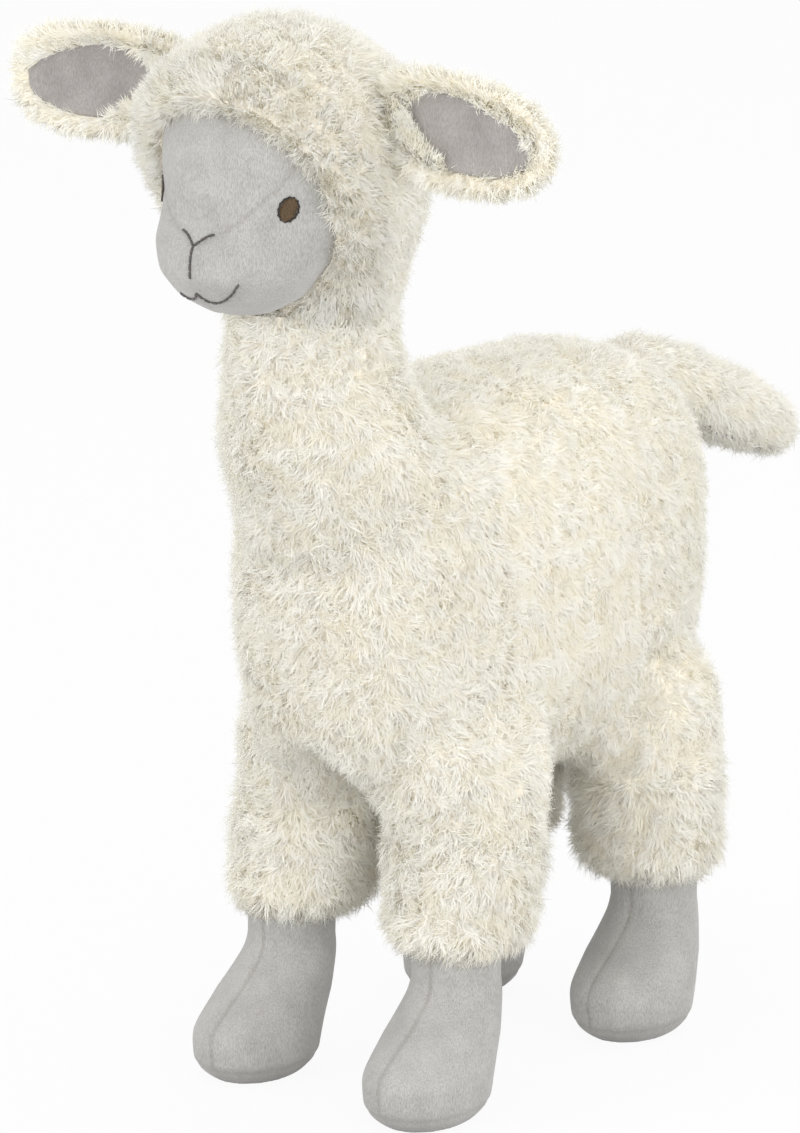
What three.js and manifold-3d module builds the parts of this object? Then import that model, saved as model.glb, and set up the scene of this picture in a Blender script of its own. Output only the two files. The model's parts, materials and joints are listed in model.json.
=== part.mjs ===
// A plush llama: a standing soft toy sewn from cream pile fabric and grey velour, filled with fibre.
// Millimetres, +Z up. The toy faces -Y, its own left side is +X, and its soles stand on Z = 0.
// Shapes are worked out with Y = 0 at the middle of the torso; the last lines set the whole toy so that
// the origin lies on the ground under the middle of its bounding box.

import * as THREE from 'three';
import { ConvexGeometry } from 'three/addons/geometries/ConvexGeometry.js';
import { mergeVertices } from 'three/addons/utils/BufferGeometryUtils.js';
import Module from 'manifold-3d';

const wasm = await Module();
wasm.setup();

// Fabrics and clearances
const PILE = 8;                  // pile fabric, its backing and its settled pile together
const VELOUR = 1.6;              // short-napped velour
const THREAD = 0.9;              // height of the embroidery above the velour
const SEAM = 0.3;                // between pieces sewn edge to edge or lying on each other
const SWING = 0.3;               // round a limb that swings in its socket

// Boots
const BOOT_HEIGHT = 60;          // ground to the seam with the pile sleeve
const SOLE_THICKNESS = 1.8;
const SOLE_RADIUS = 17;          // half the sole's width
const TOE_RADIUS = 19.8;         // half the boot's greatest width
const TOE_HEIGHT = 11;           // height of that greatest width
const ANKLE_RADIUS = 17.2;
const TOE_STRETCH = 0.28;        // how much longer than wide the foot is
const FOOT_ASIDE = 1.5;          // outward shift of the foot from the ankle
const INSTEP_LOW = 8;            // the foot bends forward between these two heights
const INSTEP_HIGH = 48;

// Legs
const HIP_RADIUS = 27;
const CALF_RADIUS = 27.2;
const CALF_AT = 0.4;             // share of the way from hip to seam where the leg is fullest
const SHIN_RADIUS = 26.2;        // where it starts to narrow to the hem
const SHIN_AT = 0.7;
const HEM_RADIUS = 22.5;
const SHANK_RADIUS = 16.6;       // filling inside the pile sleeve
const HIP_ABOVE_SEAM = 58;
const HIP_IN_TORSO = 24;         // belly to the middle of the hip
const HIP_MOUTH = 12;            // hip to the sleeve's open end, which faces up and inward
const HIP_SPREAD = 31.5;         // hip to the middle plane
const LEG_SPLAY = 5;             // outward lean of a leg from hip to seam
const LEG_SWING = 15;            // degrees either way
const FRONT_HIP_FROM_CHEST = 59;
const FRONT_LEG_LEAN = 14;       // forward lean of a leg from hip to seam
const FRONT_TOE_OUT = 17;        // foot's middle in front of the ankle
const HIND_HIP_FROM_RUMP = 45;
const HIND_LEG_LEAN = 2;
const HIND_TOE_OUT = 13;

// Torso
const TORSO_LENGTH = 204;
const TORSO_WIDTH = 94;
const TORSO_HEIGHT = 153;
const TORSO_FULLNESS = 3.2;      // 2 is an ellipsoid, more is boxier along its length
const FLANK_FULLNESS = 2.9;      // the same across its section
const GUSSET_WIDTH = 44;         // belly gusset

// Neck
const NECK_BASE_RADIUS = 38;
const NECK_TOP_RADIUS = 28;
const NECK_LENGTH = 65;          // middle of the base ball to the seam with the head
const NECK_LEAN = 17;            // forward shift over that length
const NECK_SEAT = 33;            // depth of the base ball's middle below the back
const NECK_FROM_CHEST = 30;      // and its distance behind the chest
const NECK_MOUTH = 16;           // base ball's middle to the cover's open end, which faces down and back
const NECK_SWING = 12;           // degrees either way

// Head
const HEAD_WIDTH = 101;          // over the pile, and as much from front to back
const HEAD_HEIGHT = 91;
const HEAD_LIFT = 52;            // neck seam to the head's middle
const HEAD_FORWARD = 15.5;
const SKULL_RADIUS = 38.5;       // over the velour of the face
const MUZZLE = new THREE.Vector3(29.5, 27.5, 24);
const MUZZLE_FORWARD = 19;       // head's middle to the muzzle's
const MUZZLE_DROP = 24;
const FACE_TILT = 26;            // degrees that the face opening looks down
const FACE_DEPTH = 15;           // head's middle to the plane of the face opening
const FACE_TUCK = 3;             // velour under the pile's edge
const CROWN_WIDTH = 26;          // gusset over the top of the head
const BROW_WIDTH = 58;           // forehead panel where it meets the pile
const BROW_HEIGHT = 34;          // from its tip at the nose up to that width
const NOSE_DROP = 23;            // head's middle down to the nose

// Embroidery
const EYE_WIDTH = 7;
const EYE_HEIGHT = 9;
const EYE_SPREAD = 26;           // eye to the middle plane
const EYE_DROP = 11;             // head's middle down to the eyes
const STROKE = 1.3;              // width of a stitched line
const NOSE_ARM = 6.5;            // reach of each arm of the nose to the side
const NOSE_RISE = 3.5;
const PHILTRUM = 11;
const MOUTH_DROP = 38;           // head's middle down to the mouth
const SMILE_REACH = 12.5;
const SMILE_DIP = 3;             // of each lip below the middle of the mouth
const SMILE_RISE = 2.5;          // of its outer end above it

// Ears
const EAR_LENGTH = 76;
const EAR_WIDTH = 36;
const EAR_FULLNESS = 2.5;
const EAR_BACK = 7;              // pile back at its thickest
const EAR_EDGE = 3.4;            // pile at the rim
const EAR_RIM = 5;               // pile shown round the lining
const LINING_SHARE = 0.7;        // of the rings across an ear, those that lie under the lining
const EAR_CUP = 6;               // how far the long edges come forward
const EAR_ROOT = 5;              // overlap of the ear past its hinge line
const EAR_ASIDE = 42;            // hinge line to the middle plane
const EAR_BEHIND = 5;            // hinge line behind the head's middle
const EAR_LIFT = 19;             // and above it
const EAR_DROOP = 3;             // degrees below level
const EAR_SWEEP = 6;             // degrees forward of straight out
const EAR_SWING = 30;            // degrees forward or back

// Tail
const TAIL_LENGTH = 98;
const TAIL_ROOT_RADIUS = 15.5;
const TAIL_MID_RADIUS = 17.5;
const TAIL_TIP_RADIUS = 13;
const TAIL_DROOP = 22;           // degrees below level
const TAIL_FLAT = 8;             // underside below the tail's own axis
const TAIL_MOUTH = 6;            // depth of the cover's open end behind the hinge
const TAIL_FROM_RUMP = 14;       // hinge inside the rump
const TAIL_BELOW_BACK = 25;
const TAIL_SWING = 20;           // degrees up or down

// Fineness of the turned shapes
const LIMB_SIDES = 14;
const BODY_SIDES = 18;
const TORSO_RINGS = 10;
const NECK_RINGS = 4;
const SKULL_RINGS = 10;
const MUZZLE_RINGS = 8;
const LEG_RINGS = 4;
const BOOT_RINGS = 6;
const TAIL_RINGS = 3;
const CAP_RINGS = 3;             // over the round root or tip of a limb
const ROOM_RINGS = 6;            // over the round root of its socket
const SPARE = 6;                 // extra length that is cut back to a plane
const BIG = 1000;                // reach of the blocks that cut a shape at a plane

const radians = THREE.MathUtils.degToRad;
const UP = new THREE.Vector3(0, 0, 1);
const DOWN = new THREE.Vector3(0, 0, -1);
const LEFT = new THREE.Vector3(1, 0, 0);
const RIGHT = new THREE.Vector3(-1, 0, 0);
const FORWARD = new THREE.Vector3(0, -1, 0);
const BACKWARD = new THREE.Vector3(0, 1, 0);

// Heights and places that follow from the sizes
const HIP_Z = BOOT_HEIGHT + HIP_ABOVE_SEAM;
const BELLY_Z = HIP_Z - HIP_IN_TORSO;
const TORSO_Z = BELLY_Z + TORSO_HEIGHT / 2;
const BACK_Z = BELLY_Z + TORSO_HEIGHT;
const NECK_BASE = new THREE.Vector3(0, NECK_FROM_CHEST - TORSO_LENGTH / 2, BACK_Z - NECK_SEAT);
const NECK_TOP = NECK_BASE.clone().add(new THREE.Vector3(0, -NECK_LEAN, NECK_LENGTH));
const HEAD = NECK_TOP.clone().add(new THREE.Vector3(0, -HEAD_FORWARD, HEAD_LIFT));
const TAIL_ROOT = new THREE.Vector3(0, TORSO_LENGTH / 2 - TAIL_FROM_RUMP, BACK_Z - TAIL_BELOW_BACK);
const EAR_HINGE = HEAD.clone().add(new THREE.Vector3(EAR_ASIDE, EAR_BEHIND, EAR_LIFT));
const EAR_TURN = new THREE.Euler(0, radians(EAR_DROOP), -radians(EAR_SWEEP), 'ZYX');
const EAR_LIE = new THREE.Matrix4().makeRotationFromEuler(EAR_TURN).setPosition(EAR_HINGE);

// Fabrics as seen
const fabrics = {
  pile: { color: 0xebe5d4, roughness: 0.95, metalness: 0 },
  velour: { color: 0xbfbcb8, roughness: 0.85, metalness: 0 },
  lining: { color: 0xafaaa5, roughness: 0.85, metalness: 0 },
  fibre: { color: 0xf4f2ee, roughness: 1, metalness: 0 },
  eyeThread: { color: 0x5f503d, roughness: 0.6, metalness: 0 },
  mouthThread: { color: 0x4a4648, roughness: 0.6, metalness: 0 },
};

// Turns a half outline of [radius, height] pairs about +Z.
function turned(outline, sides) {
  const points = outline.map(([radius, height]) => new THREE.Vector2(radius, height));
  return new THREE.LatheGeometry(points, sides).rotateX(Math.PI / 2);
}

// Moves every vertex of a geometry by a function of its position.
function reshaped(geometry, place) {
  const position = geometry.attributes.position;
  const point = new THREE.Vector3();
  for (let i = 0; i < position.count; i += 1) {
    point.fromBufferAttribute(position, i);
    place(point);
    position.setXYZ(i, point.x, point.y, point.z);
  }
  return geometry;
}

// Makes a closed geometry into a solid that can be joined and cut.
function solid(geometry) {
  const bare = geometry.clone();
  bare.deleteAttribute('normal');
  bare.deleteAttribute('uv');
  const merged = mergeVertices(bare);
  const corners = Array.from(merged.index ? merged.index.array : merged.attributes.position.array.keys());
  const triangles = [];
  for (let i = 0; i < corners.length; i += 3) {
    const [a, b, c] = corners.slice(i, i + 3);
    if (a !== b && b !== c && c !== a) triangles.push(a, b, c);
  }
  return new wasm.Manifold(new wasm.Mesh({
    numProp: 3,
    vertProperties: Float32Array.from(merged.attributes.position.array),
    triVerts: Uint32Array.from(triangles),
  }));
}

function geometryOf(piece) {
  const mesh = piece.getMesh();
  const geometry = new THREE.BufferGeometry();
  geometry.setAttribute('position', new THREE.BufferAttribute(mesh.vertProperties, mesh.numProp));
  geometry.setIndex(new THREE.BufferAttribute(mesh.triVerts, 1));
  geometry.computeVertexNormals();
  return geometry;
}

// A block whose face lies at the given distance along a direction; it fills everything beyond.
function beyond(direction, distance, origin = new THREE.Vector3()) {
  const box = new THREE.BoxGeometry(BIG, BIG, BIG).translate(0, 0, BIG / 2 + distance);
  const turn = new THREE.Quaternion().setFromUnitVectors(UP, direction.clone().normalize());
  box.applyQuaternion(turn).translate(origin.x, origin.y, origin.z);
  return solid(box);
}

// A signed power, which swells a circle into a fuller outline.
function swelled(value, fullness) {
  return Math.sign(value) * Math.abs(value) ** (2 / fullness);
}

// The quarter or half outline of a ball, as [radius, height] pairs from one angle to another.
function arc(radius, from, to, steps, centre = 0) {
  return Array.from({ length: steps + 1 }, (_, i) => {
    const angle = radians(from + (to - from) * i / steps);
    const reach = Math.abs(Math.cos(angle)) < 1e-9 ? 0 : radius * Math.cos(angle);
    return [reach, centre + radius * Math.sin(angle)];
  });
}

function ball(radii, centre, sides = BODY_SIDES, rings = sides / 2) {
  const geometry = turned(arc(1, -90, 90, rings), sides);
  return solid(geometry.scale(radii.x, radii.y, radii.z).translate(centre.x, centre.y, centre.z));
}

function roundBall(radius, centre, sides, rings) {
  return ball(new THREE.Vector3(radius, radius, radius), centre, sides, rings);
}

// The room that a round-ended limb needs as it swings about X: a hull of its ball and its far end both ways.
// The hull's flats, not its corners, stand the swing clearance off the limb.
function swingRoom(centre, direction, radius, farRadius, reach, swing) {
  const cornersOut = 1 / Math.cos(Math.PI / LIMB_SIDES);
  const along = new THREE.Quaternion().setFromUnitVectors(UP, direction.clone().normalize());
  const ringsOut = 1 / Math.cos(Math.PI / 4 / ROOM_RINGS);
  const cap = turned(arc((radius + SWING) * cornersOut * ringsOut, -90, 0, ROOM_RINGS), LIMB_SIDES);
  const corners = cap.applyQuaternion(along).attributes.position;
  const points = [];
  for (let i = 0; i < corners.count; i += 1) {
    points.push(new THREE.Vector3().fromBufferAttribute(corners, i));
  }
  for (const angle of [-swing, swing]) {
    const turn = new THREE.Quaternion().setFromAxisAngle(LEFT, radians(angle)).multiply(along);
    for (const [height, wide] of [[0, radius], [reach, farRadius]]) {
      const outer = (wide + SWING) * cornersOut;
      const around = new THREE.EllipseCurve(0, 0, outer, outer).getPoints(LIMB_SIDES).slice(1);
      points.push(...around.map(({ x, y }) => new THREE.Vector3(x, y, height).applyQuaternion(turn)));
    }
  }
  return solid(new ConvexGeometry(points).translate(centre.x, centre.y, centre.z));
}

// A mesh of one piece, hung from the group of the body that carries it.
function addPiece(body, name, piece, fabric) {
  const { x, y, z } = body.userData.pivot;
  const geometry = geometryOf(piece).translate(-x, -y, -z);
  const mesh = new THREE.Mesh(geometry, new THREE.MeshStandardMaterial(fabric));
  mesh.name = name;
  body.add(mesh);
}

// A group whose own origin is the point that the body turns about.
function bodyAt(parent, pivot) {
  const body = new THREE.Group();
  body.userData.pivot = pivot;
  body.position.copy(pivot).sub(parent.userData.pivot ?? new THREE.Vector3());
  parent.add(body);
  return body;
}

// Torso: a full barrel lying along Y.
function torsoForm(inset) {
  const outline = arc(1, -90, 90, TORSO_RINGS).map(([radius, height]) => [
    swelled(radius, TORSO_FULLNESS), swelled(height, TORSO_FULLNESS)]);
  const size = new THREE.Vector3(TORSO_WIDTH, TORSO_LENGTH, TORSO_HEIGHT);
  const half = size.divideScalar(2).subScalar(inset);
  return solid(reshaped(turned(outline, BODY_SIDES).rotateX(Math.PI / 2), (p) => {
    const reach = Math.hypot(p.x, p.z) || 1;
    p.x = reach * swelled(p.x / reach, FLANK_FULLNESS) * half.x;
    p.z = TORSO_Z + reach * swelled(p.z / reach, FLANK_FULLNESS) * half.z;
    p.y *= half.y;
  }));
}

// The neck's centre line and radius at a share of its length above the base ball's middle.
function neckAt(share) {
  const rise = Math.PI / 2 * Math.min(share, 1);
  return {
    centre: NECK_BASE.clone().add(new THREE.Vector3(0, -NECK_LEAN * Math.sin(rise), NECK_LENGTH * share)),
    radius: NECK_TOP_RADIUS + (NECK_BASE_RADIUS - NECK_TOP_RADIUS) * Math.cos(rise) ** 2,
  };
}

// Neck: a ball at its base, then a column that narrows and leans forward past the seam with the head.
function neckForm(inset) {
  const outline = arc(NECK_BASE_RADIUS - inset, -90, 0, NECK_RINGS);
  for (let i = 1; i <= NECK_RINGS; i += 1) {
    const share = i / NECK_RINGS;
    outline.push([neckAt(share).radius - inset, NECK_LENGTH * share]);
  }
  outline.push([NECK_TOP_RADIUS - inset, NECK_LENGTH + SPARE], [0, NECK_LENGTH + SPARE]);
  return solid(reshaped(turned(outline, BODY_SIDES), (p) => {
    p.y += neckAt(THREE.MathUtils.clamp(p.z / NECK_LENGTH, 0, 1)).centre.y;
    p.z += NECK_BASE.z;
  }));
}

// The face and the skull under the pile: a ball with a muzzle low on its front.
function faceForm(inset) {
  const muzzleAt = HEAD.clone().add(new THREE.Vector3(0, -MUZZLE_FORWARD, -MUZZLE_DROP));
  const muzzle = ball(MUZZLE.clone().subScalar(inset), muzzleAt, BODY_SIDES, MUZZLE_RINGS);
  return roundBall(SKULL_RADIUS - inset, HEAD, BODY_SIDES, SKULL_RINGS).add(muzzle);
}

// The short round stub under the head that the neck's cover is sewn to.
function stub(inset, below) {
  const radius = NECK_TOP_RADIUS - inset;
  const outline = [[0, -below], [radius, -below], [radius, HEAD_LIFT / 2], [0, HEAD_LIFT / 2]];
  return solid(turned(outline, BODY_SIDES).translate(NECK_TOP.x, NECK_TOP.y, NECK_TOP.z + SEAM / 2));
}

// Everything in front of the face opening, moved forward by a shift.
function inFrontOfFace(shift) {
  return beyond(FORWARD.clone().applyAxisAngle(LEFT, radians(FACE_TILT)), FACE_DEPTH + shift, HEAD);
}

// A flat outline, drawn in X and Z about a point, pushed out in one direction.
function pushedOut(shape, direction, at, depth) {
  const side = UP.clone().cross(direction).normalize();
  const basis = new THREE.Matrix4().makeBasis(side, direction.clone().cross(side), direction);
  const geometry = new THREE.ExtrudeGeometry(shape, { depth, bevelEnabled: false, curveSegments: 6 });
  return solid(geometry.applyMatrix4(basis).translate(at.x, at.y, at.z));
}

// A wedge with its tip at the nose, which bounds the forehead panel.
function browWedge(grow) {
  const half = BROW_WIDTH + grow;
  const top = 2 * BROW_HEIGHT - NOSE_DROP;
  const shape = new THREE.Shape([
    new THREE.Vector2(0, -grow - NOSE_DROP), new THREE.Vector2(half, top), new THREE.Vector2(-half, top)]);
  return pushedOut(shape, FORWARD, HEAD, HEAD_WIDTH);
}

// Embroidery: the part of a thin layer over the face that lies inside an outline.
function stitched(shape, direction) {
  const start = HEAD.clone().addScaledVector(direction, MUZZLE_FORWARD);
  return pushedOut(shape, direction, start, HEAD_WIDTH)
    .intersect(faceForm(-SEAM - THREAD)).subtract(faceForm(-SEAM));
}

// The outline of a stroke of one width along a curve.
function stroke(curve, steps) {
  const edge = (side) => curve.getPoints(steps).map((point, i) => {
    const tangent = curve.getTangent(i / steps);
    const across = new THREE.Vector2(-tangent.y, tangent.x).multiplyScalar(side * STROKE / 2);
    return point.clone().add(across);
  });
  return new THREE.Shape([...edge(-1), ...edge(1).reverse()]);
}

function buildTorso(body, rooms) {
  const opened = (piece) => rooms.reduce((rest, room) => rest.subtract(room), piece);
  const cover = opened(torsoForm(0).subtract(torsoForm(PILE)));
  const strip = (half) => beyond(DOWN, -TORSO_Z).subtract(beyond(LEFT, half)).subtract(beyond(RIGHT, half));
  const flanks = cover.subtract(strip(GUSSET_WIDTH / 2 + SEAM / 2).subtract(beyond(UP, TORSO_Z)));
  const gusset = cover.intersect(strip(GUSSET_WIDTH / 2 - SEAM / 2)).subtract(beyond(UP, TORSO_Z - SEAM));
  addPiece(body, 'side_panel_left', flanks.intersect(beyond(LEFT, SEAM / 2)), fabrics.pile);
  addPiece(body, 'side_panel_right', flanks.intersect(beyond(RIGHT, SEAM / 2)), fabrics.pile);
  addPiece(body, 'belly_gusset', gusset, fabrics.pile);
  addPiece(body, 'torso_filling', opened(torsoForm(PILE + SEAM)), fabrics.fibre);
}

function buildNeck(body) {
  const top = beyond(UP, NECK_TOP.z - SEAM / 2);
  const inward = DOWN.clone().add(BACKWARD);
  const mouth = beyond(inward, NECK_MOUTH, NECK_BASE);
  const cover = neckForm(0).subtract(neckForm(PILE)).subtract(top).subtract(mouth);
  const root = neckForm(0).intersect(beyond(inward, NECK_MOUTH + SEAM, NECK_BASE));
  addPiece(body, 'neck_side_left', cover.intersect(beyond(LEFT, SEAM / 2)), fabrics.pile);
  addPiece(body, 'neck_side_right', cover.intersect(beyond(RIGHT, SEAM / 2)), fabrics.pile);
  addPiece(body, 'neck_filling', neckForm(PILE + SEAM).add(root).subtract(top), fabrics.fibre);
}

function buildHead(body, earRooms) {
  const size = new THREE.Vector3(HEAD_WIDTH, HEAD_WIDTH, HEAD_HEIGHT).divideScalar(2);
  const outer = ball(size, HEAD, BODY_SIDES, SKULL_RINGS).subtract(inFrontOfFace(0)).add(stub(0, 0));
  const hollow = faceForm(-SEAM).add(stub(PILE, SPARE));
  const hood = earRooms.reduce((rest, room) => rest.subtract(room), outer.subtract(hollow));
  const throat = beyond(FORWARD, -NECK_TOP.y).subtract(beyond(UP, HEAD.z));
  const strip = (half) => beyond(UP, 0).subtract(beyond(LEFT, half)).subtract(beyond(RIGHT, half));
  const crown = (half) => strip(half).subtract(throat);
  addPiece(body, 'head_gusset', hood.intersect(crown(CROWN_WIDTH / 2 - SEAM / 2)), fabrics.pile);
  const sides = hood.subtract(crown(CROWN_WIDTH / 2 + SEAM / 2));
  addPiece(body, 'head_side_left', sides.intersect(beyond(LEFT, SEAM / 2)), fabrics.pile);
  addPiece(body, 'head_side_right', sides.intersect(beyond(RIGHT, SEAM / 2)), fabrics.pile);

  const face = faceForm(0).subtract(faceForm(VELOUR)).intersect(inFrontOfFace(-FACE_TUCK));
  const cheeks = face.subtract(browWedge(SEAM));
  addPiece(body, 'forehead_panel', face.intersect(browWedge(0)), fabrics.velour);
  addPiece(body, 'cheek_left', cheeks.intersect(beyond(LEFT, SEAM / 2)), fabrics.velour);
  addPiece(body, 'cheek_right', cheeks.intersect(beyond(RIGHT, SEAM / 2)), fabrics.velour);
  const aroundFace = faceForm(-SEAM).subtract(faceForm(VELOUR + SEAM));
  const roomForFace = aroundFace.intersect(inFrontOfFace(-FACE_TUCK - SEAM));
  const filling = faceForm(VELOUR + SEAM).add(stub(PILE + SEAM, 0)).subtract(roomForFace);
  addPiece(body, 'head_filling', filling, fabrics.fibre);
}

function buildEmbroidery(body) {
  const eyeShape = new THREE.Shape().absellipse(0, 0, EYE_WIDTH / 2, EYE_HEIGHT / 2, 0, 2 * Math.PI);
  const ahead = Math.sqrt(SKULL_RADIUS ** 2 - EYE_SPREAD ** 2 - EYE_DROP ** 2);
  const eye = stitched(eyeShape, new THREE.Vector3(EYE_SPREAD, -ahead, -EYE_DROP).normalize());
  addPiece(body, 'eye_left', eye, fabrics.eyeThread);
  addPiece(body, 'eye_right', eye.mirror([1, 0, 0]), fabrics.eyeThread);

  const at = (x, z) => new THREE.Vector2(x, z);
  const arms = [1, -1].map((side) => new THREE.QuadraticBezierCurve(
    at(side * NOSE_ARM, NOSE_RISE - NOSE_DROP),
    at(side * NOSE_ARM / 2, -NOSE_DROP),
    at(-side * STROKE / 4, -NOSE_DROP)));
  const philtrum = new THREE.LineCurve(at(0, NOSE_RISE / 4 - NOSE_DROP), at(0, -NOSE_DROP - PHILTRUM));
  const nose = [...arms, philtrum].map((line) => stitched(stroke(line, line === philtrum ? 1 : 4), FORWARD));
  addPiece(body, 'nose_stitching', nose[0].add(nose[1]).add(nose[2]), fabrics.mouthThread);

  const lips = [1, -1].map((side) => new THREE.CubicBezierCurve(
    at(-side * STROKE / 4, -MOUTH_DROP),
    at(side * SMILE_REACH / 4, -MOUTH_DROP - SMILE_DIP),
    at(side * SMILE_REACH * 3 / 4, -MOUTH_DROP - SMILE_DIP),
    at(side * SMILE_REACH, SMILE_RISE - MOUTH_DROP)));
  const smile = lips.map((line) => stitched(stroke(line, 6), FORWARD));
  addPiece(body, 'mouth_stitching', smile[0].add(smile[1]), fabrics.mouthThread);
}

// Places a unit disc, turned about Z, as a leaf-shaped ear that is cupped forward: X runs out along it, Z up.
function earPlaced(outline) {
  const inner = [EAR_LENGTH / 2 - EAR_RIM, EAR_WIDTH / 2 - EAR_RIM];
  return solid(reshaped(turned(outline, LIMB_SIDES), (p) => {
    const share = Math.hypot(p.x, p.y);
    const grown = Math.max(share - LINING_SHARE, 0) / (1 - LINING_SHARE) * EAR_RIM;
    const scale = Math.min(share / LINING_SHARE, 1);
    const x = swelled(p.x / (share || 1), EAR_FULLNESS) * (inner[0] * scale + grown);
    const z = swelled(p.y / (share || 1), EAR_FULLNESS) * (inner[1] * scale + grown);
    p.set(EAR_LENGTH / 2 - EAR_ROOT + x, p.z - EAR_CUP * (2 * z / EAR_WIDTH) ** 2, -z).applyMatrix4(EAR_LIE);
  }));
}

function buildEar(body, name, side) {
  const edge = LINING_SHARE + (1 - LINING_SHARE) * SEAM / EAR_RIM;
  const rings = [LINING_SHARE / 3, LINING_SHARE * 2 / 3];
  const front = -SEAM - VELOUR;
  const back = earPlaced([
    [0, 0], ...rings.map((ring) => [ring, 0]), [edge, 0], [edge, front], [1, front + EAR_EDGE / 3],
    [1, front + EAR_EDGE], [(1 + edge) / 2, EAR_BACK * 0.6], [rings[1], EAR_BACK * 0.9], [0, EAR_BACK]]);
  const layer = (height) => [0, ...rings, LINING_SHARE].map((ring) => [ring, height]);
  const lining = earPlaced([...layer(front), ...layer(-SEAM).reverse()]);
  const turn = (piece) => (side < 0 ? piece.mirror([1, 0, 0]) : piece);
  addPiece(body, `ear_${name}_back`, turn(back), fabrics.pile);
  addPiece(body, `ear_${name}_lining`, turn(lining), fabrics.lining);
}

// The room that an ear takes in the hood as it swings about its hinge line: a slab that widens outward.
function earRoom() {
  const root = (EAR_BACK + EAR_CUP) / 2 + SWING;
  const behind = EAR_BACK + SWING;
  const before = -EAR_CUP - VELOUR - SEAM - SWING;
  const narrow = (EAR_WIDTH - EAR_RIM) / 2;
  const wide = EAR_WIDTH / 2 + SWING;
  const out = EAR_WIDTH / 2;
  const plan = [
    [-EAR_ROOT - SWING, 0, narrow], [0, root, narrow], [0, -root, narrow],
    [out, behind, wide], [out, before, wide]];
  const points = [];
  for (const angle of [-EAR_SWING, 0, EAR_SWING]) {
    for (const [x, y, half] of plan) {
      for (const z of [-half, half]) {
        points.push(new THREE.Vector3(x, y, z).applyAxisAngle(UP, radians(angle)));
      }
    }
  }
  return solid(new ConvexGeometry(points.map((point) => point.applyMatrix4(EAR_LIE))));
}

// Leg: a round top about the hip and a shaft down to the seam with the boot, along its own leaning line.
function legForm(inset, leg, shaft, rings) {
  const drop = Math.hypot(HIP_ABOVE_SEAM, LEG_SPLAY, leg.lean);
  const points = shaft.map(([radius, share]) => new THREE.Vector2(radius, share * drop));
  const side = new THREE.SplineCurve(points).getPoints(rings).map((p) => [p.x, p.y]);
  const [last] = side.at(-1);
  const outline = [
    ...arc(HIP_RADIUS - inset, -90, 0, CAP_RINGS).slice(0, -1),
    ...side, [last, drop + SPARE], [0, drop + SPARE]];
  const turn = new THREE.Quaternion().setFromUnitVectors(UP, leg.along);
  return solid(turned(outline, LIMB_SIDES).applyQuaternion(turn).translate(leg.hip.x, leg.hip.y, leg.hip.z));
}

// Boot: a foot longer than wide, bent forward at the instep under a round ankle.
function bootForm(inset, leg) {
  const instep = [(TOE_RADIUS + ANKLE_RADIUS) / 2, (INSTEP_LOW + INSTEP_HIGH) / 2];
  const widths = [
    [SOLE_RADIUS, 0], [TOE_RADIUS, TOE_HEIGHT], instep,
    [ANKLE_RADIUS, INSTEP_HIGH], [ANKLE_RADIUS, BOOT_HEIGHT + SPARE]];
  const curve = new THREE.SplineCurve(widths.map(([radius, z]) => new THREE.Vector2(radius - inset, z)));
  const outline = [[0, 0], ...curve.getPoints(BOOT_RINGS).map((p) => [p.x, p.y]), [0, BOOT_HEIGHT + SPARE]];
  return solid(reshaped(turned(outline, LIMB_SIDES), (p) => {
    const share = THREE.MathUtils.clamp((p.z - INSTEP_LOW) / (INSTEP_HIGH - INSTEP_LOW), 0, 1);
    const forward = (1 + Math.cos(Math.PI * share)) / 2;
    p.x += leg.ankle.x + FOOT_ASIDE * forward;
    p.y = p.y * (1 + TOE_STRETCH * forward) + leg.ankle.y - leg.toe * forward;
  }));
}

function buildLeg(body, leg, side) {
  const turn = (piece) => (side < 0 ? piece.mirror([1, 0, 0]) : piece);
  const seam = beyond(DOWN, -BOOT_HEIGHT - SEAM / 2);
  const inward = UP.clone().add(RIGHT);
  const shaft = [[HIP_RADIUS, 0], [CALF_RADIUS, CALF_AT], [SHIN_RADIUS, SHIN_AT], [HEM_RADIUS, 1]];
  const outer = legForm(0, leg, shaft, LEG_RINGS);
  const core = (gap) => legForm(PILE + gap, leg, [[HIP_RADIUS - PILE - gap, 0], [SHANK_RADIUS - gap, 1]], 1);
  const sleeve = outer.subtract(core(0)).subtract(seam).subtract(beyond(inward, HIP_MOUTH, leg.hip));
  const root = outer.intersect(beyond(inward, HIP_MOUTH + SEAM, leg.hip));
  addPiece(body, `leg_${leg.name}_sleeve`, turn(sleeve), fabrics.pile);
  addPiece(body, `leg_${leg.name}_filling`, turn(core(SEAM).subtract(seam).add(root)), fabrics.fibre);

  const ankleTop = beyond(UP, BOOT_HEIGHT - SEAM / 2);
  const overSole = beyond(UP, SOLE_THICKNESS + SEAM).subtract(ankleTop);
  const upper = bootForm(0, leg).subtract(bootForm(VELOUR, leg)).intersect(overSole);
  const middle = leg.ankle.x + FOOT_ASIDE / 2;
  const outerHalf = upper.intersect(beyond(LEFT, middle + SEAM / 2));
  const innerHalf = upper.intersect(beyond(RIGHT, SEAM / 2 - middle));
  const sole = bootForm(0, leg).subtract(beyond(UP, SOLE_THICKNESS));
  const filling = bootForm(VELOUR + SEAM, leg).intersect(overSole);
  addPiece(body, `boot_${leg.name}_outer_half`, turn(outerHalf), fabrics.velour);
  addPiece(body, `boot_${leg.name}_inner_half`, turn(innerHalf), fabrics.velour);
  addPiece(body, `boot_${leg.name}_sole`, turn(sole), fabrics.velour);
  addPiece(body, `boot_${leg.name}_filling`, turn(filling), fabrics.fibre);
}

const TAIL_ALONG = BACKWARD.clone().applyAxisAngle(LEFT, -radians(TAIL_DROOP));

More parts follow.
